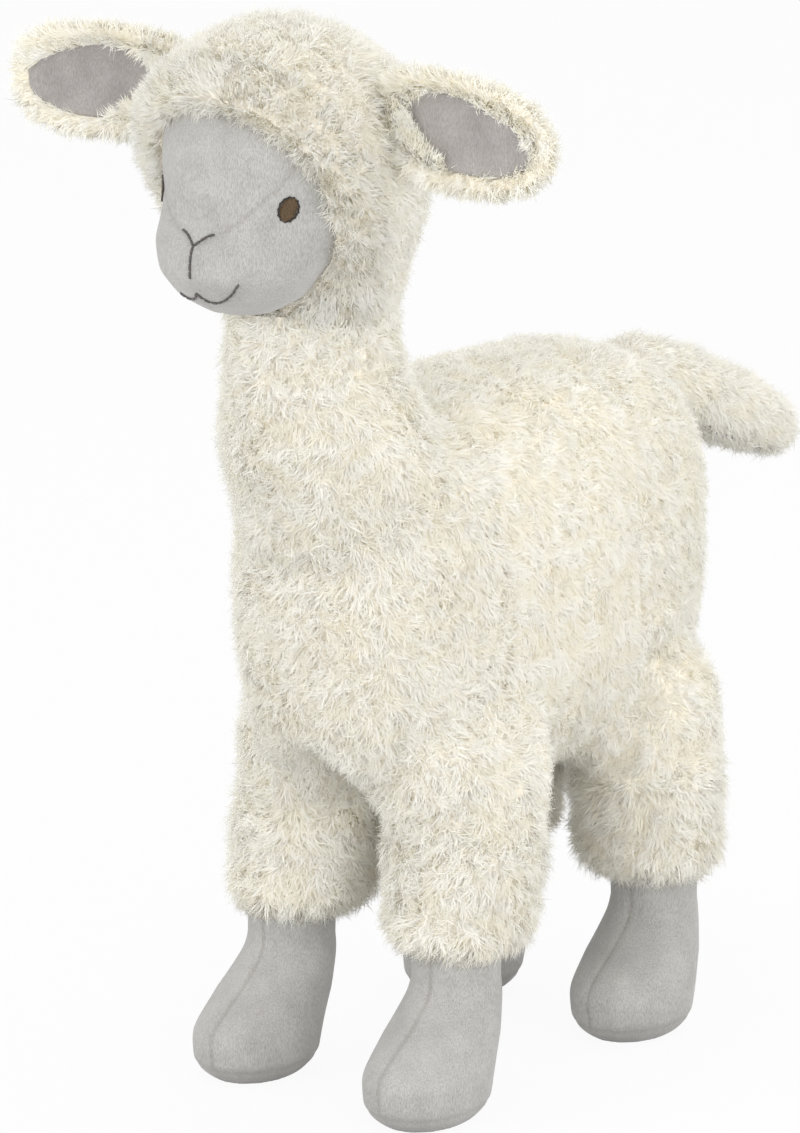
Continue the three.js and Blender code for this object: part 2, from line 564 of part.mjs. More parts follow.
// Tail: a round root, a fuller middle and a round tip, along its drooping line.
function tailForm(inset) {
  const tipAt = TAIL_LENGTH - TAIL_TIP_RADIUS;
  const curve = new THREE.SplineCurve([
    new THREE.Vector2(TAIL_ROOT_RADIUS - inset, 0), new THREE.Vector2(TAIL_MID_RADIUS - inset, tipAt / 2),
    new THREE.Vector2(TAIL_TIP_RADIUS - inset, tipAt)]);
  const outline = [
    ...arc(TAIL_ROOT_RADIUS - inset, -90, 0, CAP_RINGS).slice(0, -1),
    ...curve.getPoints(TAIL_RINGS).map((p) => [p.x, p.y]),
    ...arc(TAIL_TIP_RADIUS - inset, 0, 90, CAP_RINGS, tipAt).slice(1)];
  const turn = new THREE.Quaternion().setFromUnitVectors(UP, TAIL_ALONG);
  return solid(turned(outline, LIMB_SIDES).applyQuaternion(turn).translate(0, TAIL_ROOT.y, TAIL_ROOT.z));
}

function buildTail(body) {
  const under = DOWN.clone().applyAxisAngle(LEFT, -radians(TAIL_DROOP));
  const below = (gap) => beyond(under, TAIL_FLAT + gap, TAIL_ROOT);
  const rootward = TAIL_ALONG.clone().negate();
  const cover = tailForm(0).subtract(tailForm(PILE)).subtract(below(0));
  const root = tailForm(0).intersect(beyond(rootward, TAIL_MOUTH + SEAM, TAIL_ROOT));
  const underside = tailForm(VELOUR).intersect(below(SEAM)).subtract(below(SEAM + VELOUR));
  addPiece(body, 'tail_top', cover.subtract(beyond(rootward, TAIL_MOUTH, TAIL_ROOT)), fabrics.pile);
  addPiece(body, 'tail_underside', underside, fabrics.lining);
  addPiece(body, 'tail_filling', tailForm(PILE + SEAM).add(root).subtract(below(0)), fabrics.fibre);
}

const llama = new THREE.Group();
const torso = bodyAt(llama, new THREE.Vector3(0, 0, TORSO_Z));
const neck = bodyAt(torso, NECK_BASE);
const head = bodyAt(neck, new THREE.Vector3(0, NECK_TOP.y, NECK_TOP.z));

const nape = neckAt(NECK_SEAT / NECK_LENGTH);
const upNeck = nape.centre.clone().sub(NECK_BASE);
const rooms = [
  swingRoom(NECK_BASE, upNeck, NECK_BASE_RADIUS, nape.radius, NECK_SEAT, NECK_SWING),
  swingRoom(TAIL_ROOT, TAIL_ALONG, TAIL_ROOT_RADIUS, TAIL_MID_RADIUS, 2 * TAIL_ROOT_RADIUS, TAIL_SWING),
];
const pairs = [
  {
    name: 'front', hipY: FRONT_HIP_FROM_CHEST - TORSO_LENGTH / 2,
    lean: FRONT_LEG_LEAN, toe: FRONT_TOE_OUT,
  },
  {
    name: 'hind', hipY: TORSO_LENGTH / 2 - HIND_HIP_FROM_RUMP,
    lean: HIND_LEG_LEAN, toe: HIND_TOE_OUT,
  },
];
for (const pair of pairs) {
  const hip = new THREE.Vector3(HIP_SPREAD, pair.hipY, HIP_Z);
  const ankle = hip.clone().add(new THREE.Vector3(LEG_SPLAY, -pair.lean, -HIP_ABOVE_SEAM));
  const along = ankle.clone().sub(hip).normalize();
  const room = swingRoom(hip, along, HIP_RADIUS, CALF_RADIUS, 2 * HIP_RADIUS, LEG_SWING);
  rooms.push(room, room.mirror([1, 0, 0]));
  for (const [word, side] of [['left', 1], ['right', -1]]) {
    const body = bodyAt(torso, new THREE.Vector3(side * hip.x, hip.y, hip.z));
    buildLeg(body, { ...pair, name: `${pair.name}_${word}`, hip, ankle, along }, side);
  }
}
buildTorso(torso, rooms);
buildNeck(neck);
buildHead(head, [earRoom(), earRoom().mirror([1, 0, 0])]);
buildEmbroidery(head);
buildEar(bodyAt(head, EAR_HINGE), 'left', 1);
buildEar(bodyAt(head, new THREE.Vector3(-EAR_HINGE.x, EAR_HINGE.y, EAR_HINGE.z)), 'right', -1);
buildTail(bodyAt(torso, TAIL_ROOT));

// Set the origin on the ground under the middle of the toy.
const bounds = new THREE.Box3().setFromObject(llama);
llama.position.y = -(bounds.min.y + bounds.max.y) / 2;

export default llama;
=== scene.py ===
"""The looks of a standing plush llama: pelt, pile, velour face and boots, ears, embroidery and studio.

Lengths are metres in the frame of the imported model: +Z up, -Y the way the toy faces, +X its own left.
"""

import json
import math

import bmesh
import bpy
import numpy as np
from mathutils import Euler, Matrix, Vector, kdtree, noise
from mathutils.bvhtree import BVHTree

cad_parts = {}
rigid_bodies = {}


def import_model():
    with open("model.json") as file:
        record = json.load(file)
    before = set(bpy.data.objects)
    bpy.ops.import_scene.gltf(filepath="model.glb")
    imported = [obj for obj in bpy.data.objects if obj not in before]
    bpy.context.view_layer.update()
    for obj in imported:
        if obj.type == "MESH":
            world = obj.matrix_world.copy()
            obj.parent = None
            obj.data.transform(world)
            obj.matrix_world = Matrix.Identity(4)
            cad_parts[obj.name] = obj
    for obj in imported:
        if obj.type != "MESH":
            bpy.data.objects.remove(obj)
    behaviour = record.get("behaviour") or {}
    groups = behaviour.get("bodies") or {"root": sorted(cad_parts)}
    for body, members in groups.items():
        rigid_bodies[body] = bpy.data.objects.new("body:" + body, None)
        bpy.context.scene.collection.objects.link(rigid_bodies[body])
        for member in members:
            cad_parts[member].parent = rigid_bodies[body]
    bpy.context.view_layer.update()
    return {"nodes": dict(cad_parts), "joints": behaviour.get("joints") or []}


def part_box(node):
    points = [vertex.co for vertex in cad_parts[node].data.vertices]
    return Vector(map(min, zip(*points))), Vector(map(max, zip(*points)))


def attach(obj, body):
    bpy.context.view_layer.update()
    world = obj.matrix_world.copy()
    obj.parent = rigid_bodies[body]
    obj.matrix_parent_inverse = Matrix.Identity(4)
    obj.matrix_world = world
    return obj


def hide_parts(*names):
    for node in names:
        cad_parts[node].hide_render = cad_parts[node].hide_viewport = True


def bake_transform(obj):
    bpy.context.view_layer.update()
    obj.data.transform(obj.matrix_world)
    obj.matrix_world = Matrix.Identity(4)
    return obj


bl_info = {
    "name": "Plush llama",
    "version": (1, 0, 0),
    "blender": (4, 5, 0),
    "location": "3D View > Sidebar > Llama",
    "description": "Dresses a plush llama with its pelt, pile, velour and embroidery",
    "category": "Object",
}

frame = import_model()

MM = 0.001
LIMBS = ("front_left", "front_right", "hind_left", "hind_right")
SIDES = {"left": 1, "right": -1}
JOINTS = {joint["name"]: joint for joint in frame["joints"]}


def pivot(joint):
    return Vector(JOINTS[joint]["pos_m"])


NECK_TOP = pivot("head_turn")
TAIL_ROOT = pivot("tail_lift")
HOOD = ("head_gusset", "head_side_left", "head_side_right")
FACE = ("forehead_panel", "cheek_left", "cheek_right")
TRUNK = ("side_panel_left", "side_panel_right", "belly_gusset")

# The head's middle and the way its face opening looks
HEAD = Vector((0, NECK_TOP.y - 15.5 * MM, NECK_TOP.z + 52 * MM))
FACE_WAY = Vector((0, -math.cos(math.radians(26)), -math.sin(math.radians(26))))
BRIM_WAY = Vector((0, -math.cos(math.radians(33)), -math.sin(math.radians(33))))

SKULL_RADIUS = 38 * MM           # the ball of filling behind the face
BRIM_RADIUS = 46 * MM            # the ball whose cut edge is the hood's brim round the face
BRIM_REACH = 18.5 * MM           # how far ahead of the head's middle it is cut

# Where the pelt is parted between the bodies
HEAD_CUT = NECK_TOP.z + 2 * MM
NECK_CUT = Vector((0, -90 * MM, 218.5 * MM))
NECK_WAY = Vector((0, -0.723, 0.691))
LEG_CUT = 93 * MM
MID_Y = (pivot("leg_front_left_swing").y + pivot("leg_hind_left_swing").y) / 2

# Bulges of the filling at shoulder and haunch of the left side: middle and radii in millimetres
BULGES = (((30, -72, 115), (22, 24, 30)), ((26, 44, 150), (19, 21.5, 28)))

# Seams and embroidery of the face, as millimetres across and up from the head's middle
FOREHEAD_SEAM = (
    (2, -22), (6, -19), (11.1, -16.8), (14.8, -13.9), (18.5, -10.2), (24.3, -3.3), (28.5, 4.4), (31, 12))
CHIN_SEAM = ((0, -41), (0, -60))
NOSE = (
    ((-6.8, -18.2), (-4.4, -19), (-1.8, -20.9), (0, -22.6)),
    ((6.8, -18.2), (4.4, -19), (1.8, -20.9), (0, -22.6)),
    ((0, -22.6), (0, -26), (0, -29.5), (0, -33)))
SMILE = ((0, -38), (1.4, -39.8), (3.6, -41), (6.4, -41), (9.6, -39.6), (13, -37), (16.2, -33.4))
EYE_TILT = math.radians(-28)

# The pile
LOCKS_IN_TUFT = 9
PATCH = 14 * MM                  # size of the patches in which the pile goes astray
SWIRL = 4 * MM                   # size of the swirls in which it curls
ROOT_DEPTH = 0.3 * MM            # how far a lock is sunk into its backing
# Chest, flank and rump: where each begins and ends along Y, the lean of its locks and their length's share
TRUNK_BANDS = (
    (-1, -55 * MM, (15, 80), 1.0),
    (-55 * MM, 20 * MM, (30, 86), 0.85),
    (20 * MM, 1, (24, 84), 0.9))

# The stage: each lamp's name, place, size in metres and power in watts
LAMPS = (
    ("key", (-0.8, -1.7, 0.8), 1.3, 14),
    ("fill", (1.4, -1.1, 0.35), 1.4, 18),
    ("side", (1.9, 0.4, 0.3), 1.4, 9),
    ("top", (0.2, 0.6, 1.9), 1.4, 8))
LAMPS_LOOK_AT = Vector((0, -0.03, 0.2))
CAMERA_LOOKS_AT = Vector((0, -55.84 * MM, 180.3 * MM))
CAMERA_TURN, CAMERA_RISE = math.radians(39), math.radians(15)
CAMERA_DISTANCE = 2.0
CAMERA_LENS = 187.1

TAIL_WAY = Vector((0, math.cos(math.radians(22)), -math.sin(math.radians(22))))
EAR_LEAN = Euler((0, math.radians(3), math.radians(-6)), "XYZ").to_matrix().to_4x4()
EAR_TURN = {side: Matrix.Scale(sign, 4, (1, 0, 0)) @ EAR_LEAN for side, sign in SIDES.items()}


def linear(code):
    """A colour written as sRGB hex, as linear red, green and blue."""
    values = [int(code[i:i + 2], 16) / 255 for i in (0, 2, 4)]
    return tuple(v / 12.92 if v <= 0.04045 else ((v + 0.055) / 1.055) ** 2.4 for v in values)


def length(name, description, millimetres):
    return bpy.props.FloatProperty(
        name=name, description=description, default=millimetres * MM, min=0, subtype="DISTANCE", unit="LENGTH")


def colour(name, description, code):
    return bpy.props.FloatVectorProperty(
        name=name, description=description, default=linear(code), min=0, max=1, size=3, subtype="COLOR")


class LlamaSizes(bpy.types.PropertyGroup):
    """Sizes of the toy's soft parts."""
    pelt_voxel: length("Pelt mesh", "Size of the facets of the stuffed cover", 4.0)
    hood_voxel: length("Hood mesh", "Size of the facets of hood and tail", 2.4)
    pelt_depth: length("Pelt depth", "Knitted backing below the settled pile", 2.2)
    lump_size: length("Lump size", "Width of the fleece's soft lumps", 6.5)
    lump_height: length("Lump height", "Height of a lump above the creases round it", 1.2)
    velour_voxel: length("Velour mesh", "Size of the facets of face and boots", 0.95)
    lock_length: length("Lock length", "Length of the pile's locks", 7)
    lock_width: length("Lock width", "Width of a lock", 0.4)
    seam_depth: length("Seam depth", "How far a sewn seam draws the velour in", 0.35)
    seam_width: length("Seam width", "Width of the hollow along a seam", 1.2)
    stitch_length: length("Stitch length", "Length of one stitch of nose and mouth", 2.6)
    thread_width: length("Thread width", "Thickness of the embroidery thread", 0.9)
    eye_width: length("Eye width", "Width of the stitched eye", 6.4)
    eye_height: length("Eye height", "Height of the stitched eye", 7.8)
    locks_per_square_cm: bpy.props.FloatProperty(
        name="Locks per cm²", description="How closely the pile is planted", default=250, min=1)
    stuffing: bpy.props.FloatProperty(
        name="Stuffing", description="Pressure of the filling on the cover", default=4, min=0)


class LlamaColours(bpy.types.PropertyGroup):
    """Colours of the toy's fabrics and threads."""
    pile_tip: colour("Pile tip", "Cream at the tips of the pile", "f8f7f1")
    # painted shade: the deeper cream at the roots stands for the shade down in the pile
    pile_root_shade: colour("Pile root", "Deeper cream at the roots", "f6f2e8")
    # partly painted shade: the backing's deeper, warmer cream shows as shade in the gaps between the locks
    backing: colour("Backing", "Knitted backing of the pile", "f1ebde")
    velour: colour("Velour", "Grey velour of face and boots", "afaeac")
    velour_shade: colour("Velour shade", "Where the nap lies the other way", "a4a3a1")
    lining: colour("Lining", "Velour inside the ears and under the tail", "a19d9b")
    eye: colour("Eye thread", "Brown satin stitch", "5a462b")
    eye_rim: colour("Eye rim thread", "Dark outline of the eye", "2f2a26")
    mouth: colour("Mouth thread", "Dark grey backstitch", "55504f")


def sizes():
    return bpy.context.scene.llama_sizes


def colours():
    return bpy.context.scene.llama_colours


# Meshes

def gathered(nodes):
    """Copies of CAD nodes in one bmesh, with their loose triangles merged."""
    form = bmesh.new()
    for node in nodes:
        form.from_mesh(frame["nodes"][node].data)
    bmesh.ops.remove_doubles(form, verts=form.verts, dist=0.01 * MM)
    return form


def hulled(nodes):
    """The convex hull of CAD nodes, in one bmesh."""
    form = gathered(nodes)
    bmesh.ops.delete(form, geom=form.edges[:], context="EDGES_FACES")
    hull = bmesh.ops.convex_hull(form, input=form.verts[:])
    inside = {v for v in hull["geom_interior"] + hull["geom_unused"] if isinstance(v, bmesh.types.BMVert)}
    bmesh.ops.delete(form, geom=list(inside), context="VERTS")
    return form


def joined(name, forms):
    """A new piece that holds several bmeshes."""
    mesh = bpy.data.meshes.new(name)
    whole = bmesh.new()
    for form in forms:
        form.to_mesh(mesh)
        form.free()
        whole.from_mesh(mesh)
    whole.to_mesh(mesh)
    whole.free()
    piece = bpy.data.objects.new(name, mesh)
    bpy.context.scene.collection.objects.link(piece)
    return piece


def finished(piece):
    """Applies a piece's modifiers."""
    depsgraph = bpy.context.evaluated_depsgraph_get()
    old = piece.data
    piece.data = bpy.data.meshes.new_from_object(piece.evaluated_get(depsgraph))
    piece.data.name = piece.name
    piece.modifiers.clear()
    bpy.data.meshes.remove(old)
    piece.data.shade_smooth()
    return piece


def padded_out(piece, voxel, rounds, swell):
    """Makes one even skin of a piece, rounds its creases and moves it out or in."""
    remesh = piece.modifiers.new("remesh", "REMESH")
    remesh.mode = "VOXEL"
    remesh.voxel_size = voxel
    smooth = piece.modifiers.new("smooth", "SMOOTH")
    smooth.iterations = rounds
    inflate = piece.modifiers.new("inflate", "DISPLACE")
    inflate.mid_level = 0
    inflate.strength = swell
    return finished(piece)


def reshaped(piece, move):
    """Moves each vertex of a piece by a function of its place and normal, and of nothing else."""
    mesh = piece.data
    count = len(mesh.vertices)
    places = np.empty(count * 3)
    normals = np.empty(count * 3)
    mesh.vertices.foreach_get("co", places)
    mesh.vertices.foreach_get("normal", normals)
    moved = move(places.reshape(-1, 3), normals.reshape(-1, 3))
    mesh.vertices.foreach_set("co", moved.astype(np.float32).ravel())
    mesh.update()
    return piece


def stuffed(piece, cap, pressure, free=None):
    """Lets the filling press a cover out: cloth under pressure for a few frames, no point moved past the cap. free
    gives the share of its move that each place keeps, less where the cover is sewn down."""
    frames = 20
    rest = np.array([v.co for v in piece.data.vertices])
    cloth = piece.modifiers.new("cloth", "CLOTH")
    cloth.settings.use_pressure = True
    cloth.settings.uniform_pressure_force = pressure
    cloth.settings.effector_weights.gravity = 0
    cloth.collision_settings.use_collision = False
    cloth.point_cache.frame_start, cloth.point_cache.frame_end = 1, frames
    for step in range(1, frames + 1):
        bpy.context.scene.frame_set(step)
    finished(piece)
    bpy.context.scene.frame_set(1)

    def held(places, normals):
        moved = places - rest
        far = np.linalg.norm(moved, axis=1, keepdims=True)
        kept = 1 if free is None else free(rest)[:, None]
        return rest + moved * kept * np.minimum(1, cap / np.maximum(far, 1e-9))
    return reshaped(piece, held)


def hill(values, middle, width):
    """1 at the middle, falling off to both sides over about the width."""
    return np.exp(-((values - middle) / width) ** 2)


def rise(values, start, length):
    """0 up to the start, and 1 from a length past it."""
    return np.clip((values - start) / length, 0, 1)


def fall(values, end, length):
    """1 up to a length before the end, and 0 past the end."""
    return np.clip((end - values) / length, 0, 1)


def lumps(places):
    """How high each place lies on the fleece's lumps: 0 in the creases between them, about 1 on top."""
    size = sizes().lump_size
    coarse = np.abs([noise.noise(Vector(p) / size) for p in places])
    fine = np.abs([noise.noise(Vector(p) / size * 2.1) for p in places])
    return np.clip(1.9 * coarse + 0.7 * fine, 0, 1)


def fleeced(piece):
    """Refines a cover and raises the lumps of its fleece."""
    finer = piece.modifiers.new("finer", "SUBSURF")
    finer.levels = finer.render_levels = 1
    finished(piece)
    return reshaped(
        piece, lambda places, normals: places + normals * ((lumps(places) - 0.6) * sizes().lump_height)[:, None])


def closed_behind(form, point, away):
    """Cuts away what lies beyond a plane and closes the cut with faces of the second material."""
    geom = form.verts[:] + form.edges[:] + form.faces[:]
    cut = bmesh.ops.bisect_plane(form, geom=geom, dist=1e-6, plane_co=point, plane_no=away, clear_outer=True)
    rim = [e for e in cut["geom_cut"] if isinstance(e, bmesh.types.BMEdge)]
    for face in bmesh.ops.holes_fill(form, edges=rim)["faces"]:
        face.material_index = 1


def parted(name, source, cuts):
    """The part of a piece behind each cut, a point and the direction that is cut away, with its ends closed."""
    form = bmesh.new()
    form.from_mesh(source.data)
    for point, away in cuts:
        closed_behind(form, point, away)
    for face in form.faces:
        face.smooth = face.material_index == 0
    return joined(name, [form])


def surface_of(piece):
    """A piece's surface, to find the nearest point on it or where a ray meets it."""
    form = bmesh.new()
    form.from_mesh(piece.data)
    tree = BVHTree.FromBMesh(form)
    form.free()
    return tree


# Materials

def node(tree, kind, links=(), **settings):
    """Adds a node with its settings and links; a setting whose name is a socket's goes to that socket."""
    made = tree.nodes.new(kind)
    for name, value in settings.items():
        socket = made.inputs.get(name.replace("_", " "))
        if socket is not None and not hasattr(made, name):
            socket.default_value = value
        else:
            setattr(made, name, value)
    for source, target in links:
        tree.links.new(source, made.inputs[target])
    return made


def cloth_material(name, roughness, sheen, sheen_roughness=0.4):
    """A fabric: no gloss of its own, a soft sheen where its fibres catch the light."""
    material = bpy.data.materials.new(name)
    material.use_nodes = True
    tree = material.node_tree
    tree.nodes.clear()
    shader = node(tree, "ShaderNodeBsdfPrincipled", Roughness=roughness, IOR=1.5)
    shader.inputs["Specular IOR Level"].default_value = 0.2
    shader.inputs["Sheen Weight"].default_value = sheen
    shader.inputs["Sheen Roughness"].default_value = sheen_roughness
    out = node(tree, "ShaderNodeOutputMaterial")
    tree.links.new(shader.outputs["BSDF"], out.inputs["Surface"])
    return material, tree, shader


def ramp_between(tree, factor, low, high, start=0.0, end=1.0):
    """A colour that runs from one to another as a factor goes from start to end."""
    ramp = node(tree, "ShaderNodeValToRGB", [(factor, "Fac")])
    ramp.color_ramp.elements[0].position = start
    ramp.color_ramp.elements[0].color = (*low, 1)
    ramp.color_ramp.elements[1].position = end
    ramp.color_ramp.elements[1].color = (*high, 1)
    return ramp.outputs["Color"]


def pile_material():
    """Polyester pile: matt crimped fibres, paler at the tips, with painted shade that makes them deeper and warmer
    at the roots.
    """
    material, tree, shader = cloth_material("polyester_pile", 0.85, 0.15)
    strands = node(tree, "ShaderNodeUVMap", uv_map="OFBake")
    apart = node(tree, "ShaderNodeSeparateXYZ", [(strands.outputs["UV"], "Vector")])
    # painted shade: the cream deepens and warms from the tips down to the roots
    along = ramp_between(tree, apart.outputs["Y"], colours().pile_root_shade, colours().pile_tip, 0.0, 0.6)
    # painted shade: warmer and darker in the creases of the fleece than on its lumps
    crease_shade_and_tone = ramp_between(tree, apart.outputs["X"], linear("fcf9f0"), linear("ffffff"), 0.1, 0.75)
    cream_with_painted_shade = multiplied(tree, along, crease_shade_and_tone)
    tree.links.new(cream_with_painted_shade, shader.inputs["Base Color"])
    # loose fibres let a third of the light through, and most of it where the far side of a strip is seen
    surface = node(tree, "ShaderNodeNewGeometry")
    share = node(tree, "ShaderNodeMath", [(surface.outputs["Backfacing"], 0)], operation="MULTIPLY_ADD")
    share.inputs[1].default_value = 0.35
    share.inputs[2].default_value = 0.35
    behind = node(tree, "ShaderNodeBsdfTranslucent", [(cream_with_painted_shade, "Color")])
    both = node(tree, "ShaderNodeMixShader", [
        (share.outputs[0], "Fac"), (shader.outputs["BSDF"], 1), (behind.outputs["BSDF"], 2)])
    out = next(n for n in tree.nodes if n.type == "OUTPUT_MATERIAL")
    tree.links.new(both.outputs["Shader"], out.inputs["Surface"])
    return material


def backing_material():
    """Knitted backing: a warm cream ground that the locks stand on, with its loops 1 mm apart. Its deeper cream is
    partly the backing's own colour and partly painted shade for the gaps between the locks.
    """
    material, tree, shader = cloth_material("knitted_backing", 0.9, 0.1)
    place = node(tree, "ShaderNodeTexCoord")
    loops = node(tree, "ShaderNodeTexVoronoi", [(place.outputs["Object"], "Vector")], Scale=1 / (1.0 * MM))
    tone = ramp_between(tree, loops.outputs["Distance"], linear("ebe4d5"), colours().backing)
    tree.links.new(tone, shader.inputs["Base Color"])
    return material


def velour_material(name, base, shade):
    """Short-napped velour: patches brushed either way, fine streaks of nap, painted shadow along the seams and a
    soft sheen.
    """
    material, tree, shader = cloth_material(name, 0.8, 0.25, 0.5)
    place = node(tree, "ShaderNodeTexCoord")
    # brushed patches 11 mm across, seen as a slow drift of tone
    patches = node(tree, "ShaderNodeTexNoise", [(place.outputs["Object"], "Vector")],
                   Scale=1 / (11 * MM), Detail=2, Roughness=0.5)
    drifting = ramp_between(tree, patches.outputs["Fac"], shade, base, 0.3, 0.7)
    # the nap lies in streaks 0.35 mm wide and 1.4 mm long, turned a little from patch to patch
    turned = node(tree, "ShaderNodeMapping", [(place.outputs["Object"], "Vector")])
    turned.inputs["Rotation"].default_value = (0.5, 0.6, 0.3)
    turned.inputs["Scale"].default_value = (1, 1, 0.25)
    nap = node(tree, "ShaderNodeTexNoise", [(turned.outputs["Vector"], "Vector")],
               Scale=1 / (0.35 * MM), Detail=2, Roughness=0.6, Distortion=0.6)
    streaks = ramp_between(tree, nap.outputs["Fac"], linear("dfdcd8"), linear("ffffff"), 0.35, 0.62)
    # painted shade: the velour darkens along the seams, the more the nearer a vertex lies to one
    seam = node(tree, "ShaderNodeAttribute", attribute_name="seam")
    shadow = ramp_between(tree, seam.outputs["Fac"], linear("ffffff"), linear("e6e4e1"))
    first = multiplied(tree, drifting, streaks)
    tree.links.new(multiplied(tree, first, shadow), shader.inputs["Base Color"])
    bump = node(tree, "ShaderNodeBump", [(nap.outputs["Fac"], "Height")], Strength=0.5, Distance=0.2 * MM)
    tree.links.new(bump.outputs["Normal"], shader.inputs["Normal"])
    return material


def multiplied(tree, first, second):
    """The product of two colours."""
    mixed = node(tree, "ShaderNodeMix", data_type="RGBA", blend_type="MULTIPLY")
    mixed.inputs["Factor"].default_value = 1
    tree.links.new(first, mixed.inputs["A"])
    tree.links.new(second, mixed.inputs["B"])
    return mixed.outputs["Result"]


def thread_material(name, base, dark):
    """Rayon embroidery thread: twisted plies 0.4 mm apart with a silky shine."""
    material, tree, shader = cloth_material(name, 0.45, 0.2)
    shader.inputs["Specular IOR Level"].default_value = 0.4
    place = node(tree, "ShaderNodeTexCoord")
    plies = node(tree, "ShaderNodeTexNoise", [(place.outputs["Object"], "Vector")], Scale=1 / (0.4 * MM), Detail=1)
    tone = ramp_between(tree, plies.outputs["Fac"], dark, base, 0.35, 0.6)
    tree.links.new(tone, shader.inputs["Base Color"])
    return material


def material(name):
    """One material of the toy, made when it is first asked for."""
    if name in bpy.data.materials:
        return bpy.data.materials[name]
    c = colours()
    makers = {
        "polyester_pile": pile_material,
        "knitted_backing": backing_material,
        "grey_velour": lambda: velour_material("grey_velour", c.velour, c.velour_shade),
        "lining_velour": lambda: velour_material("lining_velour", c.lining, linear("938f8d")),
        "brown_thread": lambda: thread_material("brown_thread", c.eye, linear("3f301c")),
        "rim_thread": lambda: thread_material("rim_thread", c.eye_rim, linear("1d1a18")),
        "grey_thread": lambda: thread_material("grey_thread", c.mouth, linear("3b3736")),
    }
    return makers[name]()


def dressed(piece, slot, *names):
    """Gives a piece its materials. Its slot argument, the record's slot that they stand for, is not used."""
    piece.data.materials.clear()
    for name in names:
        piece.data.materials.append(material(name))
    return piece


# Pile

def lock_template():
    """One lock of pile as a flat tapering strip, 1 wide and 1 long along Z, in triangles."""
    form = bmesh.new()
    steps = (0, 0.5, 1)
    widths = (0.9, 1.0, 0.04)
    root = [form.verts.new((x, 0, 0)) for x in (-widths[0] / 2, widths[0] / 2)]
    edges = [form.edges.new(root)]
    for step in range(1, len(steps)):
        made = bmesh.ops.extrude_edge_only(form, edges=edges)["geom"]
        ring = [v for v in made if isinstance(v, bmesh.types.BMVert)]
        edges = [e for e in made if isinstance(e, bmesh.types.BMEdge)]
        bmesh.ops.scale(form, verts=ring, vec=(widths[step] / widths[step - 1], 1, 1))
        bmesh.ops.translate(form, verts=ring, vec=(0, 0, steps[step] - steps[step - 1]))
    bmesh.ops.pointmerge(form, verts=ring, merge_co=(0, 0, 1))
    bmesh.ops.triangulate(form, faces=form.faces[:])
    form.normal_update()
    back_to_front = [f for f in form.faces if f.normal.y < 0]
    bmesh.ops.reverse_faces(form, faces=back_to_front)
    form.verts.ensure_lookup_table()
    form.verts.index_update()
    shape = np.array([v.co for v in form.verts])
    faces = np.array([[v.index for v in f.verts] for f in form.faces])
    form.free()
    return shape, faces


def unit(vectors):
    return vectors / np.maximum(np.linalg.norm(vectors, axis=1, keepdims=True), 1e-12)


def roots_on(skin, per_square_cm, rng):
    """Evenly scattered points on a skin's outer faces, with their normals."""
    mesh = skin.data
    mesh.calc_loop_triangles()
    count = len(mesh.loop_triangles)
    corners = np.empty(count * 3, np.int32)
    slots = np.empty(count, np.int32)
    mesh.loop_triangles.foreach_get("vertices", corners)
    mesh.loop_triangles.foreach_get("material_index", slots)
    corners = corners.reshape(-1, 3)[slots == 0]
    places = np.empty(len(mesh.vertices) * 3)
    mesh.vertices.foreach_get("co", places)
    a, b, c = (places.reshape(-1, 3)[corners[:, k]] for k in range(3))
    across = np.cross(b - a, c - a)
    areas = np.linalg.norm(across, axis=1) / 2
    # the faces that close a cut don't turn the normals at its rim
    normals = np.zeros((len(mesh.vertices), 3))
    for k in range(3):
        np.add.at(normals, corners[:, k], across)
    reach = np.cumsum(areas)
    wanted = int(reach[-1] * 1e4 * per_square_cm)
    at = (np.arange(wanted) + rng.random(wanted)) / wanted * reach[-1]
    chosen = np.minimum(np.searchsorted(reach, at), len(areas) - 1)
    u, v = rng.random((2, wanted))
    folded = u + v > 1
    u[folded], v[folded] = 1 - u[folded], 1 - v[folded]
    shares = np.stack([1 - u - v, u, v], axis=1)[:, :, None]
    roots = (places.reshape(-1, 3)[corners[chosen]] * shares).sum(axis=1)
    facing = unit((unit(normals)[corners[chosen]] * shares).sum(axis=1))
    return roots, facing


def nearest_of(points, to):
    """The index of the nearest of some points to each of others."""
    tree = kdtree.KDTree(len(points))
    for i, point in enumerate(points):
        tree.insert(point, i)
    tree.balance()
    return np.array([tree.find(p)[1] for p in to])


def drift(places, size, seed):
    """Slow random vectors over space, which turn over about each size in metres."""
    # the vector noise takes its seed from the clock unless it is given one
    noise.seed_set(seed)
    shift = Vector((seed * 7.1, seed * 3.7, seed * 1.3))
    return np.array([noise.noise_vector(Vector(p) / size + shift) for p in places])


